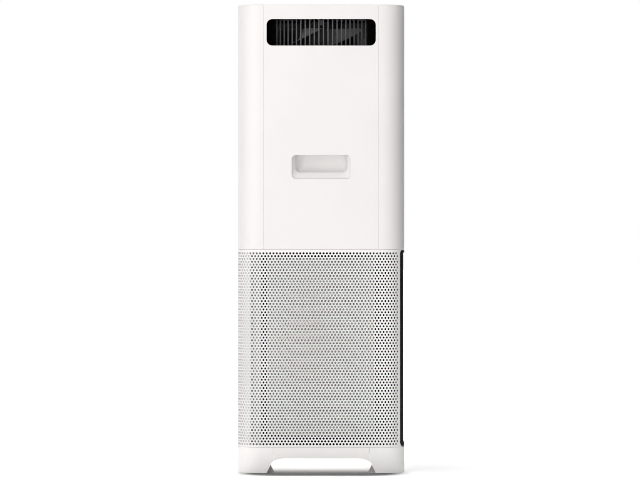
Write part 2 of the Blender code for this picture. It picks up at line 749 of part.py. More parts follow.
def spoke_set(name, count, inner, outer, low, high, width, turn=0.0):
    body = bmesh.new()
    for spoke in range(count):
        angle = 2 * pi * spoke / count + turn
        out = (cos(angle), sin(angle))
        side = (-sin(angle) * width / 2, cos(angle) * width / 2)
        layers = []
        for height in (low, high):
            layer = []
            for reach, sign in ((inner, -1), (outer, -1), (outer, 1), (inner, 1)):
                layer.append(body.verts.new((out[0] * reach + side[0] * sign,
                                             out[1] * reach + side[1] * sign, height)))
            layers.append(layer)
        body.faces.new(layers[0])
        body.faces.new(layers[1])
        for corner in range(4):
            after = (corner + 1) % 4
            body.faces.new((layers[0][corner], layers[0][after], layers[1][after], layers[1][corner]))
    return cutter(add_object(name, body, None))


def make_upper_mount(finish):
    mount = cylinder("upper_motor_mount", UPPER_MOUNT_RADIUS, UPPER_MOUNT_BOTTOM, UPPER_MOUNT_TOP, finish, 36)
    arms = spoke_set("upper_arms", UPPER_ARM_COUNT, UPPER_MOTOR_RADIUS,
                     UPPER_DUCT_RADIUS - DUCT_WALL - 0.0008, UPPER_MOUNT_BOTTOM + 0.001,
                     UPPER_MOUNT_TOP - 0.001, UPPER_ARM_WIDTH, radians(UPPER_ARM_TURN))
    cut(mount, arms, operation="UNION")


def make_lower_fan(finishes):
    """Radial impeller: back plate with hub, curved blades and a shroud round the eye."""
    plate = 0.0025
    hub_low = IMPELLER_BOTTOM + 0.010
    profile = [(0.0, hub_low), (0.010, hub_low), (0.016, IMPELLER_TOP - plate),
               (IMPELLER_RADIUS, IMPELLER_TOP - plate), (IMPELLER_RADIUS, IMPELLER_TOP),
               (0.0, IMPELLER_TOP)]
    impeller = turned("lower_impeller", profile, finishes["fan"], closed=False)
    overlap = 0.0008
    high = IMPELLER_TOP - plate + overlap
    low = IMPELLER_BOTTOM + plate - overlap
    root = (low, high, 0.0, 0.0, 0.0022)
    tip = (low, high, IMPELLER_LEAN, IMPELLER_LEAN, 0.0022)
    blades = blade_set("lower_blades", IMPELLER_BLADES, 0.044, IMPELLER_RADIUS - 0.001, root, tip)
    shroud = tube("lower_shroud", IMPELLER_EYE, IMPELLER_RADIUS, IMPELLER_BOTTOM,
                  IMPELLER_BOTTOM + plate, None)
    cut(impeller, blades, shroud, operation="UNION")
    cylinder("lower_shaft", SHAFT_RADIUS, IMPELLER_TOP + GAP, LOWER_MOTOR_TOP - 0.002, finishes["steel"], 16)
    tube("lower_motor", SHAFT_RADIUS + 0.0012, LOWER_MOTOR_RADIUS, LOWER_MOTOR_BOTTOM, LOWER_MOTOR_TOP,
         finishes["steel"], 36)


def make_lower_mount(finish):
    low = LOWER_MOTOR_TOP + GAP
    high = low + LOWER_MOUNT_THICKNESS
    mount = cylinder("lower_motor_mount", LOWER_MOUNT_RADIUS, low, high, finish, 36)
    vanes = spoke_set("lower_vanes", LOWER_VANE_COUNT, LOWER_MOTOR_RADIUS,
                      LOWER_DUCT_RADIUS - DUCT_WALL - 0.0008, low + 0.0008, high - 0.0008,
                      LOWER_VANE_WIDTH)
    cut(mount, vanes, operation="UNION")


# ---------------------------------------------------------------- upper casing

def make_shells(finish):
    low = SPLIT + GAP
    edge = SEAM_X + SEAM_GAP
    left = plan_wall("left_shell", [(2, 0.0, 90.0), (3, 0.0, 90.0)], 0.0, WALL, low, HEIGHT, finish,
                     -edge, -edge)
    vent = rounded_rectangle(SENSOR_VENT_WIDTH / 2 + GAP, SENSOR_VENT_HEIGHT / 2 + GAP, 0.0045)
    vent = [(across, up + SENSOR_Z) for across, up in vent]
    cut(left, prism("vent_hole", vent, -HALF - 0.01, -HALF + 0.01, None, facing_side))
    plan_wall("right_shell", [(0, 0.0, 90.0), (1, 0.0, 90.0)], 0.0, WALL, low, HEIGHT, finish,
              edge, edge)


def make_rear_panel(finish):
    side = SEAM_X - SEAM_GAP
    panel = block("rear_panel", (-side, -HALF, SPLIT + GAP), (side, -HALF + WALL, HEIGHT), finish)
    window_z = (WINDOW_BOTTOM + WINDOW_TOP) / 2
    window = rounded_rectangle(WINDOW_WIDTH / 2, (WINDOW_TOP - WINDOW_BOTTOM) / 2, WINDOW_RADIUS)
    window = [(across, up + window_z) for across, up in window]
    recess_z = (RECESS_BOTTOM + RECESS_TOP) / 2
    recess = rounded_rectangle(RECESS_WIDTH / 2, (RECESS_TOP - RECESS_BOTTOM) / 2, RECESS_RADIUS)
    recess = [(across, up + recess_z) for across, up in recess]
    cut(panel,
        prism("window_hole", window, -HALF - 0.01, -HALF + 0.01, None, facing_rear),
        prism("recess_hole", recess, -HALF - 0.01, -HALF + 0.01, None, facing_rear))


def make_grip_cup(finish):
    """Finger recess: its floor slopes up inwards and its roof rises behind the panel's edge."""
    front = -HALF + WALL + GAP
    back = -HALF + RECESS_DEPTH
    half = RECESS_WIDTH / 2
    cup = block("grip_cup", (-half - CUP_WALL, front, RECESS_BOTTOM - CUP_WALL),
                (half + CUP_WALL, back + CUP_WALL, RECESS_TOP + RECESS_HOOK + CUP_WALL), finish)
    mouth = front - 0.002
    hollow = [(mouth, RECESS_BOTTOM), (front, RECESS_BOTTOM), (back, RECESS_BOTTOM + RECESS_SLOPE),
              (back, RECESS_TOP + RECESS_HOOK), (front + 0.002, RECESS_TOP + RECESS_HOOK),
              (front + 0.001, RECESS_TOP), (mouth, RECESS_TOP)]
    cut(cup, prism("grip_hollow", hollow, -half, half, None, facing_side))


def make_front_panel(finish):
    side = SEAM_X - SEAM_GAP
    panel = block("front_panel", (-side, HALF - WALL, SPLIT + GAP), (side, HALF, HEIGHT), finish)
    for name, radius, height in (("display_hole", DISPLAY_RADIUS, DISPLAY_Z),
                                 ("mode_hole", MODE_BUTTON_RADIUS, MODE_BUTTON_Z)):
        hole = round_outline(radius + GAP, height, 40)
        cut(panel, prism(name, hole, HALF - 0.01, HALF + 0.01, None, facing_rear))


def round_outline(radius, height, count):
    return [(radius * cos(2 * pi * k / count), height + radius * sin(2 * pi * k / count))
            for k in range(count)]


def make_controls(finishes):
    prism("display_lens", round_outline(DISPLAY_RADIUS, DISPLAY_Z, 40), HALF - 0.0023, HALF - 0.0001,
          finishes["glass"], facing_rear)
    prism("mode_button", round_outline(MODE_BUTTON_RADIUS, MODE_BUTTON_Z, 40), HALF - MODE_BUTTON_DEPTH, HALF,
          finishes["casing"], facing_rear)
    block("display_module", (-MODULE_HALF, HALF - MODULE_FAR, DISPLAY_Z - MODULE_HALF),
          (MODULE_HALF, HALF - MODULE_NEAR, DISPLAY_Z + MODULE_HALF), finishes["black"])
    board_front = HALF - CONTROL_BOARD_DEPTH
    block("control_board",
          (-CONTROL_BOARD_HALF, board_front - BOARD_THICKNESS, MODE_BUTTON_Z - CONTROL_BOARD_BELOW),
          (CONTROL_BOARD_HALF, board_front, DISPLAY_Z + CONTROL_BOARD_ABOVE), finishes["board"])


def make_top(finishes):
    frame = plan_plate("top_frame", WALL + GAP, TOP_FRAME_BOTTOM, TOP_FRAME_TOP, finishes["casing"])
    cut(frame,
        cylinder("outlet_hole", OUTLET_RADIUS, TOP_FRAME_BOTTOM - 0.01, HEIGHT + 0.01, None, 64),
        cylinder("power_hole", POWER_BUTTON_RADIUS + GAP, TOP_FRAME_BOTTOM - 0.01, HEIGHT + 0.01, None,
                 24, (0.0, POWER_BUTTON_Y)))
    make_outlet_grille(finishes["black"])
    cylinder("power_button", POWER_BUTTON_RADIUS, POWER_BUTTON_BOTTOM, TOP_FRAME_TOP + POWER_BUTTON_RISE,
             finishes["casing"], 24, (0.0, POWER_BUTTON_Y))
    block("button_board", (-BUTTON_BOARD_HALF, BUTTON_BOARD_NEAR, OUTLET_GRILLE_BOTTOM),
          (BUTTON_BOARD_HALF, BUTTON_BOARD_FAR, OUTLET_GRILLE_BOTTOM + BUTTON_BOARD_THICKNESS),
          finishes["board"])


def make_outlet_grille(finish):
    """Round grille of rings and ribs under the top frame's opening."""
    ribs = 8
    arcs = 3
    rib_half = radians(1.4)
    columns = []
    for rib in range(ribs):
        centre = 2 * pi * rib / ribs
        stop = centre + 2 * pi / ribs - rib_half
        columns += [centre - rib_half, centre + rib_half]
        first = centre + rib_half
        columns += [first + (stop - first) * step / arcs for step in range(1, arcs)]
    columns.append(2 * pi - rib_half)
    per_rib = arcs + 1
    rings = [OUTLET_EYE, OUTLET_DISC]
    while rings[-1] + OUTLET_RING_PITCH < OUTLET_GRILLE_RADIUS:
        rings += [rings[-1] + OUTLET_RING_PITCH - OUTLET_RING_WIDTH, rings[-1] + OUTLET_RING_PITCH]
    rings[-1] = OUTLET_GRILLE_RADIUS

    def place(angle, radius, side):
        height = OUTLET_GRILLE_TOP if side == 0 else OUTLET_GRILLE_BOTTOM
        return (radius * cos(angle), radius * sin(angle), height)

    def filled(i, j):
        return j % 2 == 0 or i % per_rib == 0

    cell_sheet("outlet_grille", columns, rings, filled, place, finish, wrap=True)


# ---------------------------------------------------------------- electronics

def make_sensor(finishes):
    vent = rounded_rectangle(SENSOR_VENT_WIDTH / 2, SENSOR_VENT_HEIGHT / 2, 0.0042)
    vent = [(across, up + SENSOR_Z) for across, up in vent]
    prism("sensor_grille", vent, -HALF + 0.0001, -HALF + 0.0024, finishes["black"], facing_side)
    block("particle_sensor", (-HALF + SENSOR_NEAR, -SENSOR_HALF_WIDTH, SENSOR_Z - SENSOR_HALF_HEIGHT),
          (-HALF + SENSOR_FAR, SENSOR_HALF_WIDTH, SENSOR_Z + SENSOR_HALF_HEIGHT), finishes["black"])


def make_power_board(finishes):
    """Supply board across the rear left corner, on the diagonal, with its transformer."""
    out = (-sqrt(0.5), sqrt(0.5))
    along = (sqrt(0.5), sqrt(0.5))

    def upright(name, reach, thickness, half_width, low, high, finish):
        points = []
        for depth, across in ((reach, -half_width), (reach + thickness, -half_width),
                              (reach + thickness, half_width), (reach, half_width)):
            points.append((out[0] * depth + along[0] * across, out[1] * depth + along[1] * across))
        prism(name, points, low, high, finish)

    upright("power_board", SUPPLY_REACH, BOARD_THICKNESS, SUPPLY_HALF_WIDTH, SUPPLY_BOTTOM, SUPPLY_TOP,
            finishes["board"])
    upright("transformer", TRANSFORMER_REACH, TRANSFORMER_DEPTH, TRANSFORMER_HALF_WIDTH,
            TRANSFORMER_BOTTOM, TRANSFORMER_TOP, finishes["carbon"])


def main():
    clear_scene()
    finishes = make_materials()
    make_base_frame(finishes["base"])
    make_foot_pads(finishes["rubber"])
    make_aprons(finishes["base"])
    make_power_inlet(finishes["black"])
    make_base_screws(finishes["steel"])
    make_corner_posts(finishes["frame"])
    make_perforated_cover(finishes["cover"])
    make_drawer_rails(finishes["frame"])
    make_door(finishes["black"], finishes["black"])
    make_cartridge(finishes)
    make_mid_deck(finishes["frame"])
    make_bell_mouth(finishes["black"])
    make_lower_duct(finishes["black"])
    make_upper_duct(finishes["black"])
    make_bar_grille(finishes["fan"])
    make_upper_fan(finishes)
    make_upper_mount(finishes["fan"])
    make_lower_fan(finishes)
    make_lower_mount(finishes["fan"])
    make_shells(finishes["casing"])
    make_rear_panel(finishes["casing"])
    make_grip_cup(finishes["casing"])
    make_front_panel(finishes["casing"])
    make_controls(finishes)
    make_top(finishes)
    make_sensor(finishes)
    make_power_board(finishes)


main()
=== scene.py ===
"""Looks of the tower air purifier: fine shells, real perforations, grilles, fans and materials."""
from math import ceil, cos, pi, radians, sin, sqrt

import bmesh
import bpy
import numpy as np
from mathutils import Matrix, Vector


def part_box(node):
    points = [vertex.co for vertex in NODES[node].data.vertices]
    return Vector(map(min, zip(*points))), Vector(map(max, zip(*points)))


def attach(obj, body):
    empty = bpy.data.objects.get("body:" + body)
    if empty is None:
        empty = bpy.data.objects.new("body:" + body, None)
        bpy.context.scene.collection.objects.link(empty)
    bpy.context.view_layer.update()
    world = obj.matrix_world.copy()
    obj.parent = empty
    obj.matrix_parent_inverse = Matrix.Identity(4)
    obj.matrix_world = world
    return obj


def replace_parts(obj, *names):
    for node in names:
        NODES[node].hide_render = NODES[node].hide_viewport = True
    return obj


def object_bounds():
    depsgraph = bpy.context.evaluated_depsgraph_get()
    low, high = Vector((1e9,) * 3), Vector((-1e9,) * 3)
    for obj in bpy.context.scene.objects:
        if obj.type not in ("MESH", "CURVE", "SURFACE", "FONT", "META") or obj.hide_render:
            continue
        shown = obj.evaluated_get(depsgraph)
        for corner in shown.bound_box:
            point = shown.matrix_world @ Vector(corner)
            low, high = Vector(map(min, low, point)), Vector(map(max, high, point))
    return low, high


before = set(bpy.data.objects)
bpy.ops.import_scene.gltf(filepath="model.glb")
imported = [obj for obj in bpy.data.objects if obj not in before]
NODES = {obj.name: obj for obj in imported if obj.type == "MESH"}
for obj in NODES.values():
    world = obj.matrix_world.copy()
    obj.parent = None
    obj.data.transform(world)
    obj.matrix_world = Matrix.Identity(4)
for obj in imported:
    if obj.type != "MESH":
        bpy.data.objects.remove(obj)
CAD_LOW, CAD_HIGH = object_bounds()

# Body outline, as in the CAD: a square plan with eased corners
HEIGHT = CAD_HIGH.z
HALF = CAD_HIGH.x
CORNER = 0.038
SQUARENESS = 2.25
CORNER_STEPS = 20
OUTLINE_STEPS = 60
ALL_CORNERS = [(corner, 0.0, 90.0) for corner in range(4)]

# Words for the sides of the body, the clearance between pieces, and how far a cutter overshoots
LEFT_RIGHT = ((-1, "left"), (1, "right"))
REAR_FRONT = ((-1, "rear"), (1, "front"))
CORNER_SIGNS = ((-1, -1), (1, -1), (1, 1), (-1, 1))
GAP = 0.0003
TOOL_REACH = 0.01

# Upper casing
WALL = 0.0025
SPLIT_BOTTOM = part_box("left_shell")[0].z
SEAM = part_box("rear_panel")[1].x
SEAM_GROOVE = 0.0005
SEAM_EASE = 0.0004
SEAM_SLACK = 0.00003
TONGUE_DEPTH = 0.0005
TOP_FILLET = 0.0018
VENT_RADIUS = 0.0045
BAND_INSETS = (0.0007, 0.0022)
BAND_SLACK = 0.0001

# Window and recess in the rear panel
WINDOW_WIDTH = 0.171
WINDOW_BOTTOM = 0.6705
WINDOW_TOP = 0.7120
WINDOW_RADIUS = 0.009
RECESS_WIDTH = 0.0924
RECESS_BOTTOM = 0.4616
RECESS_TOP = 0.4992
RECESS_RADIUS = 0.007
RECESS_SLOPE = 0.011
RECESS_SLOPE_RATE = 1.3
RECESS_HOOK = 0.007
RECESS_HOOK_RATE = 1.5
RECESS_NARROWING = 0.006
RECESS_STRAIGHT = 0.45
RECESS_BACK_ROOM = 0.0018
RECESS_SKIN = 0.0015

# Window bars, in degrees round the duct, and the black channel round them
BAR_PITCH = 3.6
BAR_WIDTH = 1.15
BAR_COUNT = 22
BAR_RAIL = 0.003
BAR_DEPTH = 0.0024
BAND_ANGLE = 39.2
GRILLE_ANGLE = 53.6
CHEEK_GAP = 0.1
SHROUD_MARGIN = 0.0025
SHROUD_EDGE = 0.0012
SHROUD_WALL = 0.0015
DUCT_GAP = 0.0008

# Perforations: staggered rows of small round holes
HOLE_RADIUS = 0.00186
HOLE_SIDES = 8
HOLE_PITCH = 0.005247
ROW_PITCH = 0.004396
HOLE_ROWS = 69
FIRST_ROW = 0.0461
HOLE_NEAR_MIDDLE = -0.0015
HOLES_RIGHT_OF_IT = 23
COVER_EDGE_ROOM = 0.004
COVER_WALL = 0.0012

# Drawer front
DOOR_EDGE_ANGLE = 52.7
DOOR_GAP_ANGLE = 0.45
DOOR_BORDER_ANGLE = 5.0
DOOR_SHEET_ANGLE = 0.35
DOOR_BORDER = 0.004
DOOR_BORDER_DEPTH = 0.0025
DOOR_CORNER = 0.0085
DOOR_OUTER_CORNER = 0.006
DOOR_EDGE_ROOM = 0.009
DOOR_INSET = 0.0016
DOOR_SHEET = 0.0009
GUSSET_SLACK = 0.0001

# Liners, baffles and screens in the filter bay
BAY_SLACK = 0.001
LINER_START = 0.1135
BLACK_LINER_START = 0.100
LINER_GAP = 0.0010
LINER_WALL = 0.0016
BAFFLE_HALF = 0.0008
BAFFLE_LIFT_ROOM = 0.004
SCREEN_NEAR = 0.0932
SCREEN_FAR = 0.0946
SCREEN_GAP = 0.0006
SCREEN_ROOM = 0.0012

# Filter cartridge
NET_WALL = 0.0010
NET_STRANDS = 96
NET_STRAND_SHARE = 0.22
NET_CELL = 0.0056
NET_TWIST = 4.0
PLEATS = 120
PLEAT_ROOT = 0.0060
PLEAT_CREST = 0.0022
MEDIA_BORE = 0.060
CAP_EDGE = 0.0012
CAP_BORE = 0.048
CAP_GROOVE = (0.0590, 0.0600, 0.0815, 0.0825)

# Base
SKIRT_WALL = 0.003
BASE_BOTTOM, BASE_TOP = (corner.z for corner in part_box("base_frame"))
DECK_BOTTOM = 0.033
BOSS_EDGE = 0.0803
ARCH_FLAT = 0.056
ARCH_EDGE = 0.080
ARCH_FOOT = 0.086
ARCH_SPRING = 0.012
ARCH_TOP = 0.024
ARCH_BELOW = -0.002
APRON_HALF = 0.0753
NOTCH_SLACK = 0.0002
NOTCH_TOP = 0.05
PAD_OUTER = 0.112
PAD_HEIGHT = 0.012
POCKET_OVERLAP = 0.002

# Power inlet and base screws
INLET_ROOM = 0.0006
INLET_HOLE_RADIUS = 0.003
INLET_RADIUS = 0.0027
SOCKET_DEPTH = 0.012
SOCKET_RADIUS = 0.0040
SOCKET_WAIST = 0.0031
PIN_SPACING = 0.0086
PIN_RADIUS = 0.0012
PIN_TIP = 0.0008
PIN_LENGTH = 0.0095
PIN_SINK = 0.0005
SCREW_HEAD = 0.0028
SCREW_SLOT_HALF = 0.0005
SCREW_SLOT_DEPTH = 0.0011

# Fans. A blade end is (low z, high z, low turn in degrees, high turn, thickness)
FAN_BLADES = 9
FAN_HUB = 0.070
FAN_HUB_WALL = 0.003
FAN_FIRST_BLADE = -79.3
FAN_CAMBER = 1.5
LOWER_BLADES = 11
LOWER_BLADE_START = 0.044
LOWER_EYE = 0.052
LOWER_PLATE = 0.0025
LOWER_OVERLAP = 0.0004
LOWER_LEAN = -34.0

# Top outlet: fine rings joined by swept ribs
OUTLET_RADIUS = 0.105
OUTLET_RIBS = 12
OUTLET_RIB_HALF = 0.011
OUTLET_ARCS = 10
OUTLET_PITCH = 0.0068
OUTLET_RING = 0.0024
OUTLET_EYE = (0.0008, 0.0200)
OUTLET_RIM = 0.0040
OUTLET_SWIRL = radians(26.0)
OUTLET_SAG = 0.0012

# Stage: the floor's painted soft shadow, flags as (side, distance, half width, height), and the key light
FLOOR_REACH = 40.0
FLOOR_GLOW = 0.45
SHADOW_SHIFT = 0.064
SHADOW_HALF = 0.104
SHADOW_FADE = 0.045
SHADOW_START = 0.040
SHADOW_DARK = -0.150
FLAGS = ((1, 0.86, 1.1, 1.5), (-1, 2.0, 1.0, 1.3))
KEY_PLACE = (-1.6, -3.4, 1.3)
KEY_AIM = (0.0, 0.0, 0.4)
KEY_WIDTH = 1.0
KEY_HEIGHT = 2.4
KEY_POWER = 23.0

# Camera, with its shift in pixels of a picture IMAGE_WIDTH wide
CAMERA_DISTANCE = 6.0
CAMERA_LENS = 215.5
CAMERA_SENSOR = 36.0
CAMERA_SHIFT = (-1.2, -1.0)
IMAGE_WIDTH = 640
FILTER_WIDTH = 0.9


# ---- materials

class Look:
    """A material in the making. Its methods add procedural nodes and return their outputs."""

    def __init__(self, name):
        self.made = bpy.data.materials.new(name)
        self.made.use_nodes = True
        self.nodes = self.made.node_tree.nodes

    def feed(self, node, inputs):
        """Links each input to its socket, or sets it to its value."""
        for key, value in inputs.items():
            if isinstance(value, bpy.types.NodeSocket):
                self.made.node_tree.links.new(value, node.inputs[key])
            else:
                node.inputs[key].default_value = value
        return node.outputs

    def finish(self, inputs):
        """Feeds the shader, and returns the material."""
        self.feed(self.nodes["Principled BSDF"], inputs)
        return self.made

    def coords(self):
        return self.nodes.new("ShaderNodeTexCoord").outputs["Object"]

    def noise(self, scale, detail=2.0, roughness=0.5, stretch=None):
        source = self.coords()
        if stretch:
            mapping = self.nodes.new("ShaderNodeMapping")
            source = self.feed(mapping, {"Vector": source, "Scale": stretch})["Vector"]
        return self.feed(self.nodes.new("ShaderNodeTexNoise"),
                         {"Vector": source, "Scale": scale, "Detail": detail, "Roughness": roughness})["Fac"]

    def spread(self, source, low, high):
        """Maps the busy middle of a noise value onto low to high."""
        return self.feed(self.nodes.new("ShaderNodeMapRange"),
                         {"Value": source, "From Min": 0.3, "From Max": 0.7,
                          "To Min": low, "To Max": high})["Result"]

    def ramp(self, source, stops, interpolation="LINEAR"):
        """Colours along a value, from stops of (value, colour)."""
        node = self.nodes.new("ShaderNodeValToRGB")
        node.color_ramp.interpolation = interpolation
        elements = node.color_ramp.elements
        elements.remove(elements[-1])
        for number, (value, colour) in enumerate(stops):
            stop = elements.new(value) if number else elements[0]
            stop.position = value
            stop.color = (*colour, 1.0)
        return self.feed(node, {"Fac": source})["Color"]

    def tint(self, source, first, second, inside=(0.3, 0.7)):
        return self.ramp(source, zip(inside, (first, second)))

    def bump(self, source, strength, distance, before=None):
        inputs = {"Height": source, "Strength": strength, "Distance": distance}
        if before is not None:
            inputs["Normal"] = before
        return self.feed(self.nodes.new("ShaderNodeBump"), inputs)["Normal"]

    def vector_step(self, operation, source, amount=(0.0, 0.0, 0.0)):
        node = self.nodes.new("ShaderNodeVectorMath")
        node.operation = operation
        return self.feed(node, {0: source, 1: amount})

    def fade(self, source, start, stop):
        node = self.nodes.new("ShaderNodeMapRange")
        node.interpolation_type = "SMOOTHSTEP"
        return self.feed(node, {"Value": source, "From Min": start, "From Max": stop})["Result"]


def shaded(colour, share):
    return tuple(channel * share for channel in colour)


def moulded(name, colour, roughness, shade=0.97, grain=1900.0, grain_height=0.00003, gloss=0.5):
    """Moulded plastic or powder coat: faint clouding, a fine spark texture and slight waviness."""
    look = Look(name)
    waves = look.bump(look.noise(14.0, 1.0), 0.25, 0.0003)
    return look.finish({
        "Specular IOR Level": gloss,
        "Base Color": look.tint(look.noise(9.0, 3.0), shaded(colour, shade), colour),
        "Roughness": look.spread(look.noise(60.0, 4.0), roughness - 0.04, roughness + 0.05),
        "Normal": look.bump(look.noise(grain), 0.35, grain_height, waves)})


def metal(name, colour, roughness, stretch):
    """Drawn or wound metal with streaks."""
    look = Look(name)
    streaks = look.noise(1.0, 2.0, 0.5, stretch)
    return look.finish({
        "Metallic": 1.0,
        "Base Color": look.tint(streaks, shaded(colour, 0.8), colour),
        "Roughness": look.spread(streaks, roughness - 0.06, roughness + 0.1),
        "Normal": look.bump(streaks, 0.2, 0.00002)})


def matted(name, colour, dark, scale, height):
    """Rubber, paper, foam or carbon: matted grain with relief."""
    look = Look(name)
    mat = look.noise(scale, 6.0, 0.7)
    return look.finish({
        "Base Color": look.tint(mat, dark, colour, (0.35, 0.65)),
        "Roughness": look.spread(mat, 0.82, 0.95),
        "Normal": look.bump(mat, 0.7, height)})


def display_glass(name, centre):
    """Gloss black lens with a faint printed ring round its middle."""
    look = Look(name)
    reach = look.vector_step("DISTANCE", look.coords(), centre)["Value"]
    scaled = look.feed(look.nodes.new("ShaderNodeMapRange"), {"Value": reach, "From Max": 0.025})["Result"]
    greys = ((0.70, 0.008), (0.73, 0.085), (0.79, 0.085), (0.82, 0.007))
    ring = [(place, (grey, grey, grey * 1.06)) for place, grey in greys]
    stops = [(0.0, (0.008, 0.008, 0.010)), *ring, (1.0, (0.006, 0.006, 0.007))]
    return look.finish({
        "Base Color": look.ramp(scaled, stops, "EASE"),
        "Roughness": look.spread(look.noise(90.0, 5.0, 0.7), 0.05, 0.14),
        "Coat Weight": 0.6,
        "Coat Roughness": 0.04})


def circuit(name):
    """Green solder resist over a faint grid of tracks."""
    look = Look(name)
    tracks = look.feed(look.nodes.new("ShaderNodeTexBrick"),
                       {"Vector": look.coords(), "Scale": 120.0, "Mortar Size": 0.06,
                        "Color1": (0.012, 0.085, 0.040, 1.0), "Color2": (0.016, 0.100, 0.048, 1.0),
                        "Mortar": (0.045, 0.210, 0.095, 1.0)})
    return look.finish({
        "Base Color": tracks["Color"],
        "Roughness": look.spread(look.noise(200.0), 0.30, 0.45),
        "Normal": look.bump(tracks["Fac"], 0.3, 0.00004)})


def floor_painted_shadow(name):
    """Pale floor with a painted soft shadow, in its colour and its glow, that runs out from under the rear of
    the body.
    """
    look = Look(name)
    coords = look.coords()
    moved = look.vector_step("ADD", coords, (0.0, SHADOW_SHIFT, 0.0))["Vector"]
    folded = look.vector_step("ABSOLUTE", moved)["Vector"]
    straight = SHADOW_HALF - CORNER
    past = look.vector_step("SUBTRACT", folded, (straight, straight, 0.0))["Vector"]
    corner = look.vector_step("LENGTH", look.vector_step("MAXIMUM", past)["Vector"])["Value"]
    along = look.feed(look.nodes.new("ShaderNodeSeparateXYZ"), {"Vector": coords})["Y"]
    both = look.nodes.new("ShaderNodeMath")
    both.operation = "MULTIPLY"
    shade = look.feed(both, {0: look.fade(corner, CORNER + SHADOW_FADE, CORNER),
                             1: look.fade(along, SHADOW_START, SHADOW_DARK)})["Value"]
    # Painted shadow: colour and glow run from pale to dark grey where the shadow mask is full
    ramp = look.tint(shade, (0.94, 0.94, 0.94), (0.10, 0.10, 0.10), (0.0, 1.0))
    return look.finish({"Base Color": ramp, "Emission Color": ramp, "Emission Strength": FLOOR_GLOW,
                        "Roughness": 0.7})


def flag_black(name):
    look = Look(name)
    patches = look.noise(4.0, 2.0)
    return look.finish({"Base Color": look.tint(patches, (0.02, 0.02, 0.02), (0.03, 0.03, 0.03)),
                        "Roughness": 0.9})


LENS_LOW, LENS_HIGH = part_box("display_lens")
LENS_FACE = ((LENS_LOW.x + LENS_HIGH.x) / 2, LENS_HIGH.y, (LENS_LOW.z + LENS_HIGH.z) / 2)
FINISHES = {
    "casing": moulded("casing_white", (0.800, 0.775, 0.765), 0.46),
    "cover": moulded("cover_powder_coat", (0.850, 0.830, 0.820), 0.50, grain=2600.0),
    "base": moulded("base_white", (0.905, 0.885, 0.862), 0.50),
    "inner": moulded("inner_frame_white", (0.80, 0.79, 0.77), 0.58),
    # Posts: the pale frame colour darkened to mid grey, painted shade for posts that stand in shadow behind
    # the cover
    "post": moulded("inner_frame_painted_shade_grey", (0.30, 0.29, 0.28), 0.60),
    "black": moulded("black_plastic", (0.006, 0.006, 0.006), 0.60, 0.75, 1900.0, 0.00005, 0.12),
    "door": moulded("black_powder_coat", (0.005, 0.005, 0.005), 0.60, 0.8, 2600.0, 0.00003, 0.12),
    "bars": moulded("bar_grey", (0.095, 0.095, 0.098), 0.42, 0.85),
    "blades": moulded("blade_grey", (0.085, 0.086, 0.088), 0.40, 0.85),
    "hub": moulded("fan_black", (0.005, 0.005, 0.005), 0.60, 0.8),
    "mount": moulded("mount_grey", (0.026, 0.022, 0.021), 0.55, 0.8),
    "rubber": matted("foot_rubber", (0.520, 0.510, 0.495), (0.450, 0.440, 0.430), 260.0, 0.00006),
    "glass": display_glass("display_glass", LENS_FACE),
    "board": circuit("circuit_board"),
    "steel": metal("plated_steel", (0.62, 0.62, 0.63), 0.32, (60.0, 60.0, 4000.0)),
    "core": metal("core_steel", (0.30, 0.30, 0.31), 0.45, (40.0, 40.0, 2500.0)),
    "net": matted("prefilter_net", (0.225, 0.207, 0.186), (0.170, 0.156, 0.141), 900.0, 0.0001),
    "paper": matted("filter_paper", (0.62, 0.59, 0.54), (0.52, 0.49, 0.44), 700.0, 0.0001),
    "carbon": matted("carbon_grains", (0.040, 0.040, 0.041), (0.012, 0.012, 0.012), 420.0, 0.0008),
    "foam": matted("gasket_foam", (0.150, 0.150, 0.155), (0.080, 0.080, 0.084), 1500.0, 0.0003),
}

# Slot names by finish, unless a piece names another; add_object looks them up but gives no piece a slot
SLOTS = {"casing": "casing", "cover": "cover", "base": "base", "black": "black_plastic", "door": "door_mesh",
         "bars": "grille_bars", "blades": "fan_plastic", "hub": "fan_plastic", "steel": "steel",
         "net": "prefilter_net", "paper": "filter_paper"}


# ---- mesh tools

def new_object(name, data):
    thing = bpy.data.objects.new(name, data)
    bpy.context.scene.collection.objects.link(thing)
    return thing


def add_object(name, mesh, finish, smooth_angle, body_name, slot):
    """Puts a mesh into the scene as a visible piece, or as a cutter where there is no finish."""
    mesh.shade_smooth()
    mesh.set_sharp_from_angle(angle=radians(smooth_angle))
    thing = new_object(name, mesh)
    if finish:
        mesh.materials.append(FINISHES[finish])
        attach(thing, body_name)
        slot or SLOTS[finish]
    return thing


def add_body(name, body, finish, smooth_angle=35.0, body_name="casing", slot=None):
    bmesh.ops.recalc_face_normals(body, faces=body.faces)
    mesh = bpy.data.meshes.new(name)
    body.to_mesh(mesh)
    body.free()
    return add_object(name, mesh, finish, smooth_angle, body_name, slot)


def join_loops(body, loops, close_path=False):
    """Faces between neighbouring closed loops of vertices. Open paths are capped at both ends."""
    pairs = list(zip(loops, loops[1:]))
    if close_path:
        pairs.append((loops[-1], loops[0]))
    else:
        body.faces.new(loops[0])
        body.faces.new(loops[-1])
    for first, second in pairs:
        for index in range(len(first)):
            after = (index + 1) % len(first)
            body.faces.new((first[index], first[after], second[after], second[index]))


def lofted(name, loops, finish, close_path=False, **options):
    """Closed solid through loops of points."""
    body = bmesh.new()
    join_loops(body, [[body.verts.new(point) for point in loop] for loop in loops], close_path)
    return add_body(name, body, finish, **options)


def prism(name, points, low, high, finish, place=None, **options):
    """Closed solid: a flat outline swept from low to high."""
    place = place or (lambda u, v, w: (u, v, w))
    return lofted(name, [[place(u, v, w) for u, v in points] for w in (low, high)], finish, **options)


def block(name, low, high, finish, **options):
    corners = [(low[0], low[1]), (high[0], low[1]), (high[0], high[1]), (low[0], high[1])]
    return prism(name, corners, low[2], high[2], finish, **options)


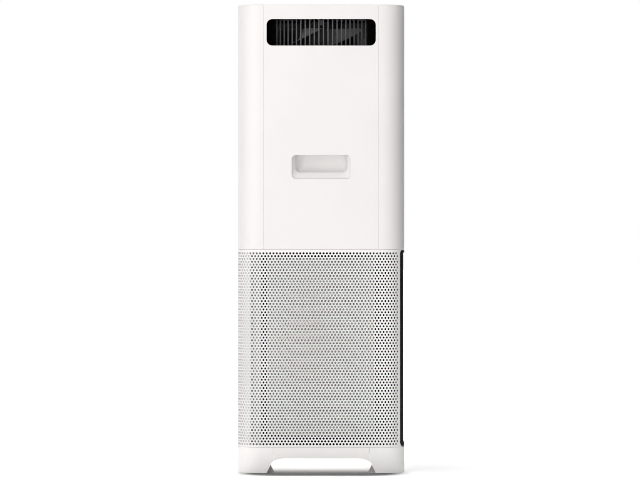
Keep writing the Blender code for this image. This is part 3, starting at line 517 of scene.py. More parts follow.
def side_tool(name, points, side, place):
    """Cutter through the wall at one side of the body."""
    return prism(name, points, side * HALF - TOOL_REACH, side * HALF + TOOL_REACH, None, place)


def upright_tool(name, points, low, high):
    """Cutter from below low to above high."""
    return prism(name, points, low.z - TOOL_REACH, high.z + TOOL_REACH, None)


def turned(name, profile, finish, segments=64, centre=(0.0, 0.0), place=None, **options):
    """Shape turned about an upright axis. A profile that starts on the axis also ends there.

    place moves each point of a shape turned about the origin.
    """
    body = bmesh.new()
    place = place or (lambda x, y, z: (centre[0] + x, centre[1] + y, z))
    rings = []
    for radius, height in profile:
        count = segments if radius else 1
        rings.append([body.verts.new(place(radius * cos(2 * pi * k / segments),
                                           radius * sin(2 * pi * k / segments), height))
                      for k in range(count)])
    closing = rings[:1] if profile[0][0] else []
    for first, second in zip(rings, rings[1:] + closing):
        for step in range(segments):
            after = (step + 1) % segments
            if len(first) == 1:
                body.faces.new((first[0], second[step], second[after]))
            elif len(second) == 1:
                body.faces.new((first[step], second[0], first[after]))
            else:
                body.faces.new((first[step], second[step], second[after], first[after]))
    return add_body(name, body, finish, **options)


def cell_sheet(name, columns, rows, filled, place, finish, wrap=False, **options):
    """Sheet with openings: each filled cell of a grid is a closed patch between two skins."""
    body = bmesh.new()
    made = {}
    last = len(columns) - 1

    def vertex(i, j, side):
        i = 0 if wrap and i == last else i
        if (i, j, side) not in made:
            made[(i, j, side)] = body.verts.new(place(columns[i], rows[j], side))
        return made[(i, j, side)]

    def is_filled(i, j):
        if wrap:
            i %= last
        return 0 <= i < last and 0 <= j < len(rows) - 1 and filled(i, j)

    for i in range(last):
        for j in range(len(rows) - 1):
            if not is_filled(i, j):
                continue
            square = [(i, j), (i + 1, j), (i + 1, j + 1), (i, j + 1)]
            beyond = [(i, j - 1), (i + 1, j), (i, j + 1), (i - 1, j)]
            body.faces.new([vertex(a, b, 0) for a, b in square])
            body.faces.new([vertex(a, b, 1) for a, b in reversed(square)])
            for side in range(4):
                if is_filled(*beyond[side]):
                    continue
                start = square[side]
                stop = square[(side + 1) % 4]
                body.faces.new((vertex(*start, 0), vertex(*start, 1), vertex(*stop, 1), vertex(*stop, 0)))
    return add_body(name, body, finish, **options)


def apply_modifiers(thing):
    bpy.context.view_layer.update()
    shaped = bpy.data.meshes.new_from_object(thing.evaluated_get(bpy.context.evaluated_depsgraph_get()))
    thing.modifiers.clear()
    thing.data = shaped
    return thing


def cut(thing, *tools):
    """Cuts every tool out of a piece at once, and removes the tools."""
    for tool in tools:
        change = thing.modifiers.new("cut", "BOOLEAN")
        change.operation = "DIFFERENCE"
        change.object = tool
    apply_modifiers(thing)
    for tool in tools:
        bpy.data.objects.remove(tool, do_unlink=True)
    return thing


def weigh_normals(thing):
    """Keeps large flat faces flat where they run into curved ones."""
    weigh = thing.modifiers.new("normals", "WEIGHTED_NORMAL")
    weigh.weight = 100
    weigh.keep_sharp = True
    return apply_modifiers(thing)


def soften(thing, width, segments=3, angle=40.0, keep=False):
    """Rounds every edge sharper than angle. A CAD node keeps the modifier live."""
    edge = thing.modifiers.new("edge_radius", "BEVEL")
    edge.width = width
    edge.segments = segments
    edge.limit_method = "ANGLE"
    edge.angle_limit = radians(angle)
    edge.harden_normals = True
    if not keep:
        apply_modifiers(thing)
    return thing


def rounded_rectangle(half_width, half_height, radius, steps=10, centre=0.0, splits=1):
    """Points of a rounded rectangle. splits divides its upper and lower edges."""
    points = []
    for quarter, (across, up) in enumerate(((1, 1), (-1, 1), (-1, -1), (1, -1))):
        for step in range(steps + 1):
            angle = radians(90.0 * (quarter + step / steps))
            points.append((across * (half_width - radius) + radius * cos(angle),
                           centre + up * (half_height - radius) + radius * sin(angle)))
        if quarter % 2 == 0:
            span = 2 * (half_width - radius)
            points += [(across * (half_width - radius - span * step / splits), centre + up * half_height)
                       for step in range(1, splits)]
    return points


def circle(radius, count, across=0.0, up=0.0):
    return [(across + radius * cos(2 * pi * k / count), up + radius * sin(2 * pi * k / count))
            for k in range(count)]


def quarter_turn(steps):
    return [radians(90.0 * step / steps) for step in range(steps + 1)]


def quarter_round(radius, edge, level, steps=5):
    """Profile points of a rounded rim that ends at radius and level, from the side to the top."""
    return [(radius - edge * (1 - cos(angle)), level - edge * (1 - sin(angle)))
            for angle in quarter_turn(steps)]


def mirrored(sign, near, far):
    """Low and high ends of a span on one side of the middle."""
    return sorted((sign * near, sign * far))


def facing_rear(u, v, w):
    return (u, w, v)


def facing_side(u, v, w):
    return (w, u, v)


def round_part(node):
    """Centre and radius of a round node that faces up."""
    low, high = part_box(node)
    return (low + high) / 2, (high.x - low.x) / 2


# ---- plan outline

def corner_point(corner, degrees, inset):
    """A point on one eased corner. Corners run anticlockwise from (+X, -Y); degrees go 0 to 90."""
    angle = radians(90.0 * (corner - 1) + degrees)
    reach = CORNER - inset
    across = 1 if corner in (0, 1) else -1
    along = 1 if corner in (1, 2) else -1
    power = 2.0 / SQUARENESS
    wide = reach * abs(cos(angle)) ** power
    deep = reach * abs(sin(angle)) ** power
    return (across * (HALF - CORNER + wide), along * (HALF - CORNER + deep))


def plan_path(inset, spans, steps_each=CORNER_STEPS):
    """Points along the outline over spans of (corner, first degree, last degree)."""
    points = []
    for corner, begin, end in spans:
        steps = max(2, ceil(steps_each * (end - begin) / 90.0))
        points += [corner_point(corner, begin + (end - begin) * step / steps, inset)
                   for step in range(steps + 1)]
    return points


class Outline:
    """The plan outline by distance along it: zero at the middle of the rear face, growing to +X."""

    def __init__(self, inset):
        middle = (0.0, -HALF + inset)
        self.points = np.array([middle] + plan_path(inset, ALL_CORNERS, OUTLINE_STEPS) + [middle])
        self.marks = np.concatenate(([0.0], np.cumsum(np.hypot(*np.diff(self.points, axis=0).T))))
        self.length = self.marks[-1]

    def at(self, shares):
        """Points at shares of the way round, where 1 is a full turn."""
        wanted = (np.asarray(shares) % 1.0) * self.length
        return np.stack([np.interp(wanted, self.marks, self.points[:, axis]) for axis in (0, 1)], axis=-1)

    def distance_to(self, corner, degrees):
        """Distance from the middle of the rear face to a point on corner 0 or 1."""
        before = len(plan_path(0.0, ALL_CORNERS[:corner], OUTLINE_STEPS))
        index = 1 + before + OUTLINE_STEPS * degrees / 90.0
        return float(np.interp(index, np.arange(len(self.marks)), self.marks))


FACE = Outline(0.0)


def on_face(inset, distances, heights):
    """Points in space, at an inset, from distances along the face's outline and heights."""
    around = Outline(inset).at(np.asarray(distances) / FACE.length)
    return [(x, y, z) for (x, y), z in zip(around, heights)]


# ---- upper casing

def swept_wall(name, corners, edge_x, profile, finish, **options):
    """Wrap-round wall: a profile of (inset, height) carried along the plan outline, with eased ends."""
    first_side = 1 if corners[0] in (1, 2) else -1
    last_side = 1 if corners[-1] in (1, 2) else -1
    outward = 1 if edge_x > 0 else -1
    insets = [inset for inset, _ in profile]
    middle = (min(insets) + max(insets)) / 2

    def end_column(side, shift, pull):
        return [(edge_x + outward * shift, side * (HALF - inset - (pull if inset < middle else 0.0)), z)
                for inset, z in profile]

    columns = [end_column(first_side, 0.0, SEAM_EASE), end_column(first_side, SEAM_EASE, 0.0)]
    paths = [plan_path(inset, [(corner, 0.0, 90.0) for corner in corners]) for inset in insets]
    for points in zip(*paths):
        columns.append([(*point, z) for point, (_, z) in zip(points, profile)])
    columns += [end_column(last_side, SEAM_EASE, 0.0), end_column(last_side, 0.0, SEAM_EASE)]
    return lofted(name, columns, finish, smooth_angle=40.0, **options)


def make_shells():
    profile = [(WALL, SPLIT_BOTTOM), (SEAM_EASE, SPLIT_BOTTOM), (0.0, SPLIT_BOTTOM + SEAM_EASE)]
    for angle in quarter_turn(6):
        profile.append((TOP_FILLET * (1 - cos(angle)), HEIGHT - TOP_FILLET * (1 - sin(angle))))
    profile += [(WALL - SEAM_EASE, HEIGHT), (WALL, HEIGHT - SEAM_EASE)]
    edge = SEAM + SEAM_GROOVE
    left = swept_wall("left_casing", (2, 3), -edge, profile, "casing")
    right = swept_wall("right_casing", (0, 1), edge, profile, "casing")
    low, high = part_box("sensor_grille")
    hole = rounded_rectangle((high.y - low.y) / 2 + GAP, (high.z - low.z) / 2 + GAP, VENT_RADIUS,
                             centre=(low.z + high.z) / 2)
    cut(left, side_tool("vent_tool", hole, -1, facing_side))
    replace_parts(weigh_normals(left), "left_shell")
    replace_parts(weigh_normals(right), "right_shell")


def make_panels():
    """Flat front and rear panels with their openings."""
    rear = block("rear_casing_panel", *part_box("rear_panel"), "casing")
    window = rounded_rectangle(WINDOW_WIDTH / 2, (WINDOW_TOP - WINDOW_BOTTOM) / 2, WINDOW_RADIUS,
                               centre=(WINDOW_BOTTOM + WINDOW_TOP) / 2)
    recess = rounded_rectangle(RECESS_WIDTH / 2, (RECESS_TOP - RECESS_BOTTOM) / 2, RECESS_RADIUS,
                               centre=(RECESS_BOTTOM + RECESS_TOP) / 2)
    cut(rear, side_tool("window_tool", window, -1, facing_rear),
        side_tool("recess_tool", recess, -1, facing_rear))
    front = block("front_casing_panel", *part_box("front_panel"), "casing")
    for node in ("display_lens", "mode_button"):
        centre, radius = round_part(node)
        hole = circle(radius + GAP, 72, centre.x, centre.z)
        cut(front, side_tool("round_tool", hole, 1, facing_rear))
    for panel, node in ((rear, "rear_panel"), (front, "front_panel")):
        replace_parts(soften(panel, SEAM_EASE), node)


def make_seam_tongues():
    """Slim strips set back in the grooves between the panels and the shells."""
    for across, x_word in LEFT_RIGHT:
        near, far = mirrored(across, SEAM + SEAM_SLACK, SEAM + SEAM_GROOVE - SEAM_SLACK)
        for along, y_word in REAR_FRONT:
            low_y, high_y = mirrored(along, HALF - TONGUE_DEPTH, HALF - WALL)
            block(f"seam_tongue_{y_word}_{x_word}", (near, low_y, SPLIT_BOTTOM + GAP),
                  (far, high_y, HEIGHT - TOP_FILLET), "casing")


def make_grip_cup():
    """Finger recess: a lofted cup whose floor slopes up inwards and whose roof rises out of sight."""
    low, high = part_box("grip_cup")
    depth = high.y - RECESS_BACK_ROOM - low.y
    steps = 14
    rings = []
    for step in range(steps + 1):
        share = step / steps
        bottom = RECESS_BOTTOM + RECESS_SLOPE * sin(pi / 2 * min(1.0, share * RECESS_SLOPE_RATE))
        top = RECESS_TOP + RECESS_HOOK * sin(pi / 2 * min(1.0, share * RECESS_HOOK_RATE))
        rings.append((low.y + depth * RECESS_STRAIGHT * share,
                      RECESS_WIDTH / 2 - RECESS_NARROWING * sin(pi / 2 * share),
                      (top - bottom) / 2, RECESS_RADIUS + 0.001 * share, (top + bottom) / 2))
    y, half_width, half_height, radius, centre = rings[-1]
    rest = depth * (1 - RECESS_STRAIGHT)
    for angle in quarter_turn(8)[1:]:
        pull = rest * (1 - cos(angle))
        rings.append((y + rest * sin(angle), half_width - pull, half_height - pull,
                      max(0.001, radius - pull), centre))
    body = bmesh.new()
    loops = [[body.verts.new((u, y, v)) for u, v in rounded_rectangle(*size, 8, centre)]
             for y, *size, centre in rings]
    join_loops(body, loops)
    mouth = [face for face in body.faces if set(face.verts) == set(loops[0])]
    bmesh.ops.delete(body, geom=mouth, context="FACES_ONLY")
    cup = add_body("grip_recess", body, "casing", 40.0)
    skin = cup.modifiers.new("skin", "SOLIDIFY")
    skin.thickness = RECESS_SKIN
    skin.offset = 1.0
    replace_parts(apply_modifiers(cup), "grip_cup")


def dish(name, node, finish, slot, edge, hollow, facing_up, body_name="casing"):
    """Round part with a rounded rim and a slightly hollow face, facing up or towards +Y."""
    low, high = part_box(node)
    centre, radius = round_part(node)
    bottom, top = (low.z, high.z) if facing_up else (low.y, high.y)
    profile = [(0.0, bottom), (radius, bottom)] + quarter_round(radius, edge, top)
    for step in range(1, 7):
        share = step / 7
        profile.append(((radius - edge) * (1 - share), top - hollow * sin(pi / 2 * share)))
    profile.append((0.0, top - hollow))

    def place(x, y, z):
        return (centre.x + x, centre.y + y, z) if facing_up else (centre.x + x, z, centre.z - y)

    made = turned(name, profile, finish, place=place, body_name=body_name, slot=slot)
    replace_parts(made, node)


def make_controls():
    dish("display_cover", "display_lens", "glass", "display_glass", 0.0006, 0.0001, False)
    dish("mode_key_cap", "mode_button", "casing", "buttons", 0.0008, 0.0006, False, "mode_key")
    dish("power_key_cap", "power_button", "casing", "buttons", 0.0008, 0.0005, True, "power_key")


def make_top():
    low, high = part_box("top_frame")
    top = prism("top_casing_frame", plan_path(HALF - high.x, ALL_CORNERS), low.z, high.z,
                "casing")
    key, key_radius = round_part("power_button")
    cut(top, upright_tool("outlet_tool", circle(OUTLET_RADIUS, 160), low, high),
        upright_tool("key_tool", circle(key_radius + GAP, 48, key.x, key.y), low, high))
    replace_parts(soften(top, 0.0010, 4), "top_frame")
    make_outlet_grille()


def make_outlet_grille():
    """Fine rings and swept ribs round a closed centre."""
    low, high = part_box("outlet_grille")
    columns = []
    for rib in range(OUTLET_RIBS):
        centre = 2 * pi * rib / OUTLET_RIBS
        first = centre + OUTLET_RIB_HALF
        stop = centre + 2 * pi / OUTLET_RIBS - OUTLET_RIB_HALF
        columns += [centre - OUTLET_RIB_HALF, first]
        columns += [first + (stop - first) * step / OUTLET_ARCS for step in range(1, OUTLET_ARCS)]
    columns.append(2 * pi - OUTLET_RIB_HALF)
    rings = list(OUTLET_EYE)
    while rings[-1] + 1.8 * OUTLET_PITCH < high.x:
        rings += [rings[-1] + OUTLET_PITCH - OUTLET_RING, rings[-1] + OUTLET_PITCH]
    rings += [high.x - OUTLET_RIM, high.x]

    def place(angle, radius, side):
        lean = angle + OUTLET_SWIRL * radius / high.x
        sag = OUTLET_SAG * (1 - (radius / high.x) ** 2)
        height = high.z - sag if side == 0 else low.z + OUTLET_SAG
        return (radius * cos(lean), radius * sin(lean), height)

    def filled(i, j):
        return j % 2 == 0 or i % (OUTLET_ARCS + 1) == 0

    grille = cell_sheet("outlet_ring_grille", columns, rings, filled, place, "black", wrap=True)
    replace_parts(soften(grille, 0.0005, 2), "outlet_grille")


# ---- window

def make_window():
    """Upright bars on the duct's curve, between black cheeks, with a shroud out to the panel."""
    low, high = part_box("bar_grille")
    duct = -low.y
    columns = [-BAND_ANGLE]
    for bar in range(BAR_COUNT):
        centre = (bar - (BAR_COUNT - 1) / 2) * BAR_PITCH
        columns += [centre - BAR_WIDTH / 2, centre + BAR_WIDTH / 2]
    columns.append(BAND_ANGLE)
    rows = [low.z, low.z + BAR_RAIL, high.z - BAR_RAIL, high.z]

    def place(degrees, height, side):
        angle = radians(degrees - 90.0)
        reach = duct - BAR_DEPTH * side
        return (reach * cos(angle), reach * sin(angle), height)

    bars = cell_sheet("window_bars", columns, rows, lambda i, j: j != 1 or i % 2 == 1, place,
                      "bars")
    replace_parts(soften(bars, 0.0007, 3), "bar_grille")
    for sign, word in LEFT_RIGHT:
        start, stop = mirrored(sign, BAND_ANGLE + CHEEK_GAP, GRILLE_ANGLE)
        arc = [start + (stop - start) * step / 6 for step in range(7)]
        cheek = cell_sheet(f"window_cheek_{word}", arc, [low.z, high.z], lambda i, j: True, place,
                           "black")
        soften(cheek, 0.0004, 2)
    make_window_shroud(duct)


def make_window_shroud(duct):
    """Black channel from the panel's opening back to the duct."""
    front = -HALF + WALL + GAP
    half = WINDOW_WIDTH / 2 + SHROUD_MARGIN
    reach = duct + DUCT_GAP
    steps = 32
    across = [half - 2 * half * step / steps for step in range(steps + 1)]
    arc = [(x, -sqrt(reach * reach - x * x)) for x in across]
    outline = [(-half, front), (half, front)] + arc
    roof = WINDOW_TOP + SHROUD_EDGE
    floor = WINDOW_BOTTOM - SHROUD_EDGE
    prism("window_shroud_roof", outline, roof, roof + SHROUD_WALL, "black")
    prism("window_shroud_floor", outline, floor - SHROUD_WALL, floor, "black")
    for sign, word in LEFT_RIGHT:
        near, far = mirrored(sign, half - SHROUD_WALL, half)
        block(f"window_shroud_{word}", (near, front, floor + GAP), (far, arc[0][1], roof - GAP),
              "black")


# ---- fans

def add_blade(body, inner, outer, root, tip, start, height_steps, camber=0.0):
    """Adds one closed blade between two blade ends, at two radii."""
    radial_steps = 10
    loops = []
    for step in range(radial_steps + 1):
        share = step / radial_steps
        radius = inner + (outer - inner) * share
        low, high, low_turn, high_turn, thick = [a + (b - a) * share for a, b in zip(root, tip)]
        sides = []
        for side in (-1, 1):
            column = []
            for level in range(height_steps + 1):
                part = level / height_steps
                turn = low_turn + (high_turn - low_turn) * part + camber * share * sin(pi * part)
                slim = thick * (0.5 + 0.5 * sin(pi * (0.08 + part * 0.84)))
                angle = start + radians(turn) + side * slim / (2 * radius)
                column.append(body.verts.new((radius * cos(angle), radius * sin(angle),
                                              low + (high - low) * part)))
            sides.append(column)
        loops.append(sides[0] + sides[1][::-1])
    count = len(loops[0])
    for one, two in zip(loops, loops[1:]):
        for index in range(count):
            after = (index + 1) % count
            body.faces.new((one[index], one[after], two[after], two[index]))
    for loop in (loops[0], loops[-1]):
        for level in range(height_steps):
            body.faces.new((loop[level], loop[level + 1], loop[count - 2 - level], loop[count - 1 - level]))


def make_upper_fan():
    low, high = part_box("upper_impeller")
    bottom, top = low.z, high.z
    tip_radius = min(high.x, -low.x) - 0.0002
    root = (bottom + 0.005, top - 0.0004, 0.0, 0.0, 0.0026)
    tip = (bottom + 0.0005, top - 0.0001, -6.2, 31.0, 0.0018)
    body = bmesh.new()
    for blade in range(FAN_BLADES):
        start = radians(FAN_FIRST_BLADE + 360.0 * blade / FAN_BLADES)
        add_blade(body, FAN_HUB - 0.0012, tip_radius, root, tip, start, 10, FAN_CAMBER)
    add_body("upper_fan_blades", body, "blades", 50.0, "upper_rotor")
    floor = bottom + FAN_HUB_WALL
    inner = FAN_HUB - FAN_HUB_WALL
    profile = [(0.0, bottom), (FAN_HUB - 0.006, bottom), (FAN_HUB - 0.002, bottom + 0.0015),
               (FAN_HUB, bottom + 0.005)] + quarter_round(FAN_HUB, 0.0010, top, 3)
    profile += [(inner + 0.0005, top), (inner, top - 0.0005), (inner, floor), (0.0, floor)]
    hub = turned("upper_fan_hub", profile, "hub", 96,
                 body_name="upper_rotor")
    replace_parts(hub, "upper_impeller")


def make_lower_fan():
    low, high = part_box("lower_impeller")
    radius = high.x
    bottom, top = low.z, high.z
    plate = LOWER_PLATE
    profile = [(0.0, bottom + 0.010), (0.010, bottom + 0.010), (0.0125, bottom + 0.017),
               (0.018, top - plate - 0.002), (0.026, top - plate), (radius, top - plate)]
    profile += quarter_round(radius, 0.0006, top, 2) + [(0.0, top)]
    disc = turned("lower_fan_disc", profile, "hub", 96,
                  body_name="lower_rotor")
    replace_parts(disc, "lower_impeller")
    ring = [(LOWER_EYE, bottom + 0.0006), (LOWER_EYE + 0.0006, bottom), (radius - 0.0006, bottom),
            (radius, bottom + 0.0006), (radius, bottom + plate), (LOWER_EYE + 0.003, bottom + plate),
            (LOWER_EYE, bottom + plate + 0.002)]
    turned("lower_fan_shroud", ring, "hub", 96, body_name="lower_rotor")
    root = (bottom + plate - LOWER_OVERLAP, top - plate + LOWER_OVERLAP, 0.0, 0.0, 0.0022)
    tip = (*root[:2], LOWER_LEAN, LOWER_LEAN, 0.0018)
    body = bmesh.new()
    for blade in range(LOWER_BLADES):
        start = 2 * pi * blade / LOWER_BLADES
        add_blade(body, LOWER_BLADE_START, radius - 0.001, root, tip, start, 2)
    add_body("lower_fan_blades", body, "blades", 50.0, "lower_rotor")


# ---- perforated sheets

# A hole's cell: six points round its edge, then eight round the hole, joined by these faces
CELL_FACES = ((6, 13, 0), (6, 0, 1), (6, 1, 7), (7, 1, 2, 8), (8, 2, 3, 9), (9, 3, 10), (10, 3, 4),
              (10, 4, 11), (11, 4, 5, 12), (12, 5, 0, 13))


def holed_sheet(name, columns, levels, plain, holes, inset, thickness, finish, body_name="casing", slot=None):
    """Closed sheet along the plan outline, with round holes right through it.

    columns are distances along the outline and levels are heights. plain and holes list the grid
    cells (column, level) that are filled; a cell with a hole is two columns wide.
    """
    wide = len(columns)
    points = [(s, z) for z in levels for s in columns]
    faces = [(j * wide + i, j * wide + i + 1, (j + 1) * wide + i + 1, (j + 1) * wide + i) for i, j in plain]
    for i, j in holes:
        low, high = j * wide + i, (j + 1) * wide + i
        start = len(points)
        points += circle(HOLE_RADIUS, HOLE_SIDES, columns[i + 1], (levels[j] + levels[j + 1]) / 2)
        cell = [low + 2, high + 2, high + 1, high, low, low + 1] + list(range(start, start + HOLE_SIDES))
        faces += [tuple(cell[corner] for corner in face) for face in CELL_FACES]
    edges = {(a, b) for face in faces for a, b in zip(face, face[1:] + face[:1])}
    count = len(points)
    flat = np.array(points)
    skins = on_face(inset, flat[:, 0], flat[:, 1]) + on_face(inset + thickness, flat[:, 0], flat[:, 1])
    walls = [(b, a, a + count, b + count) for a, b in edges if (b, a) not in edges]
    back = [tuple(corner + count for corner in reversed(face)) for face in faces]
    mesh = bpy.data.meshes.new(name)
    mesh.from_pydata(skins, [], faces + back + sorted(walls))
    body = bmesh.new()
    body.from_mesh(mesh)
    bmesh.ops.delete(body, geom=[vert for vert in body.verts if not vert.link_faces], context="VERTS")
    body.to_mesh(mesh)
    body.free()
    return add_object(name, mesh, finish, 35.0, body_name, slot)


def even_steps(start, stop, longest=0.003):
    """Distances from start towards stop, without stop itself."""
    steps = max(1, ceil((stop - start) / longest))
    return [start + (stop - start) * step / steps for step in range(steps)]


def perforation(first_hole, count, start, stop, low, high, rows, closed_left, closed_right):
    """Grid of staggered holes: (columns, levels, plain cells, holed cells).

    Odd rows are shifted by half a pitch. A side that isn't closed ends in a zigzag, which the next
    sheet along continues.
    """
    half = HOLE_PITCH / 2
    before = even_steps(start, first_hole - half) if closed_left else []
    field = [first_hole - half + half * index for index in range(2 * count + 2)]
    after = []
    if closed_right:
        after = [2 * stop - s for s in even_steps(stop, 2 * stop - field[-1])][::-1]
    columns = before + field + after
    levels = [low] + [FIRST_ROW + (row - 0.5) * ROW_PITCH for row in (*rows, rows[-1] + 1)] + [high]
    offset = len(before)
    last = len(columns) - 2
    plain = []
    holes = []
    for order, row in enumerate(rows, 1):
        first = offset + row % 2
        holes += [(first + 2 * index, order) for index in range(count)]
        if closed_left:
            plain += [(index, order) for index in range(first)]
        if closed_right:
            plain += [(index, order) for index in range(first + 2 * count, last + 1)]
    for order in (0, len(levels) - 2):
        stop_index = last if closed_right else offset + 2 * count - 1
        plain += [(index, order) for index in range(stop_index + 1)]
    return columns, levels, plain, holes


def make_cover():
    """Perforated sheet round three sides, in three runs that meet in unbroken holes."""
    low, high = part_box("perforated_cover")
    end = FACE.distance_to(0, DOOR_EDGE_ANGLE - DOOR_GAP_ANGLE)
    start = -(FACE.length / 2 + end)
    last_hole = HOLE_NEAR_MIDDLE + HOLE_PITCH * HOLES_RIGHT_OF_IT
    total = int((last_hole - start - COVER_EDGE_ROOM) / HOLE_PITCH) + 1
    first_hole = last_hole - HOLE_PITCH * (total - 1)
    parts = ("front", "left", "rear")
    done = 0
    for number, word in enumerate(parts):
        count = (total - done) // (len(parts) - number)
        grid = perforation(first_hole + done * HOLE_PITCH, count, start, end, low.z, high.z,
                           range(HOLE_ROWS), number == 0, number == len(parts) - 1)
        sheet = holed_sheet(f"cover_sheet_{word}", *grid, 0.0, COVER_WALL, "cover")
        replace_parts(sheet, "perforated_cover")
        done += count


def make_door():
    """Flush black border with rounded corners, round a perforated sheet set back in it."""
    low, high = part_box("door_panel")
    start = FACE.distance_to(0, DOOR_EDGE_ANGLE + DOOR_BORDER_ANGLE + DOOR_SHEET_ANGLE)
    stop = FACE.length / 2 - start
    count = int((stop - start - DOOR_EDGE_ROOM) / HOLE_PITCH)
    first_hole = (start + stop) / 2 - HOLE_PITCH * (count - 1) / 2 - HOLE_PITCH / 4
    grid = perforation(first_hole, count, start, stop, low.z, high.z, range(1, HOLE_ROWS - 1), True, True)
    sheet = holed_sheet("door_sheet", *grid, DOOR_INSET, DOOR_SHEET, "door", body_name="drawer")
    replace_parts(sheet, "door_panel")
    low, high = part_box("door_frame")
    middle = FACE.length / 4
    half = middle - FACE.distance_to(0, DOOR_EDGE_ANGLE + DOOR_GAP_ANGLE)
    inner_half = middle - FACE.distance_to(0, DOOR_EDGE_ANGLE + DOOR_BORDER_ANGLE)
    half_height = (high.z - low.z) / 2
    outer = rounded_rectangle(half, half_height, DOOR_OUTER_CORNER, 8, splits=60)
    inner = rounded_rectangle(inner_half, half_height - DOOR_BORDER, DOOR_CORNER, 8, splits=60)
    loops = [on_face(inset, [middle + across for across, _ in loop],
                     [(low.z + high.z) / 2 + up for _, up in loop])
             for loop, inset in ((outer, 0.0), (inner, 0.0), (inner, DOOR_BORDER_DEPTH),
                                 (outer, DOOR_BORDER_DEPTH))]
    border = lofted("door_border", loops, "black", True, smooth_angle=40.0,
                    body_name="drawer")
    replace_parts(soften(border, 0.0004, 2), "door_frame")


def make_door_gussets():
    """Fillets of the cover round the door's rounded corners."""
    low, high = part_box("door_frame")
    cover_low, cover_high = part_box("perforated_cover")
    start = FACE.distance_to(0, DOOR_EDGE_ANGLE + DOOR_GAP_ANGLE)
    cover_start = FACE.distance_to(0, DOOR_EDGE_ANGLE - DOOR_GAP_ANGLE)
    reach = DOOR_OUTER_CORNER + start - cover_start
    turn = start + DOOR_OUTER_CORNER
    for side, y_word in ((1, "rear"), (-1, "front")):
        for up, z_word, edge, far in ((1, "upper", high.z, cover_high.z), (-1, "lower", low.z, cover_low.z)):
            level = edge - up * DOOR_OUTER_CORNER
            lift = min(reach, abs(far - level) - GUSSET_SLACK)
            outline = [(cover_start, level), (cover_start, far), (turn, far)]
            for angle in quarter_turn(8)[:-1]:
                outline.append((turn - reach * sin(angle), level + up * lift * cos(angle)))
            distances = [s if side > 0 else FACE.length / 2 - s for s, _ in outline]
            heights = [height for _, height in outline]
            lofted(f"cover_gusset_{y_word}_{z_word}",
                   [on_face(inset, distances, heights) for inset in (0.0, COVER_WALL)], "cover")


def make_liners():
    """Liners close behind the cover's corners: pale ones away from the drawer, black ones beside it."""
    low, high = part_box("perforated_cover")
    flat = HALF - CORNER
    corner_length = FACE.length / 4 - 2 * flat
    reach = corner_length / 2 - (LINER_START - flat)
    rear_corner = -flat - corner_length / 2
    front_corner = rear_corner - FACE.length / 4
    door_edge = FACE.distance_to(0, DOOR_EDGE_ANGLE - DOOR_GAP_ANGLE)
    runs = {
        "rear_pale": (rear_corner - reach, rear_corner + reach, "inner"),
        "front_pale": (front_corner - reach, front_corner + reach, "inner"),
        "rear_black": (BLACK_LINER_START, door_edge, "black"),
        "front_black": (FACE.length / 2 - door_edge, FACE.length / 2 - BLACK_LINER_START, "black"),
    }
    for word, (start, stop, finish) in runs.items():
        columns = even_steps(start, stop) + [stop]
        plain = [(index, 0) for index in range(len(columns) - 1)]
        holed_sheet(f"corner_liner_{word}", columns, [low.z + BAY_SLACK, high.z - BAY_SLACK], plain, [],
                    COVER_WALL + LINER_GAP, LINER_WALL, finish, slot="inner_frame")


def make_baffles():
    """Black guides that part the filter bay into a front and a rear half, and screens beside the posts."""
    low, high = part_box("perforated_cover")
    cap_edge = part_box("filter_bottom_cap")[1].x + GAP
    net_low, net_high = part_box("filter_mesh")
    net_edge = net_high.x + GAP
    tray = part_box("drawer_tray")[1]
    floor = low.z + BAY_SLACK
    top = high.z - BAY_SLACK
    for name, sign, far, bottom, level, rider in (
            ("bay_baffle", -1, HALF - COVER_WALL - BAY_SLACK, floor, top, "casing"),
            ("drawer_baffle", 1, tray.x, tray.z + GAP, top - BAFFLE_LIFT_ROOM, "drawer")):
        outline = [(cap_edge, bottom), (far, bottom), (far, level), (cap_edge, level), (cap_edge, net_high.z),
                   (net_edge, net_high.z), (net_edge, net_low.z), (cap_edge, net_low.z)]
        prism(name, [(sign * across, up) for across, up in outline], -BAFFLE_HALF, BAFFLE_HALF, "black",
              facing_rear, body_name=rider)
    for across, x_word in LEFT_RIGHT:
        for along, y_word in REAR_FRONT:
            low_x, high_x = mirrored(across, SCREEN_NEAR, SCREEN_FAR)
            low_y, high_y = mirrored(along, tray.y + SCREEN_GAP, HALF - COVER_WALL - SCREEN_ROOM)
            block(f"bay_screen_{y_word}_{x_word}", (low_x, low_y, floor), (high_x, high_y, top),
                  "black")


def make_split_band():
    """Band set back in the joint between the upper casing and the filter bay."""
    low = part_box("perforated_cover")[1].z + BAND_SLACK
    high = SPLIT_BOTTOM - BAND_SLACK
    outer, inner = (plan_path(inset, ALL_CORNERS) for inset in BAND_INSETS)
    loops = [[(x, y, height) for x, y in outline]
             for outline, height in ((outer, low), (outer, high), (inner, high), (inner, low))]
    lofted("split_band", loops, "casing", True)


# ---- filter cartridge

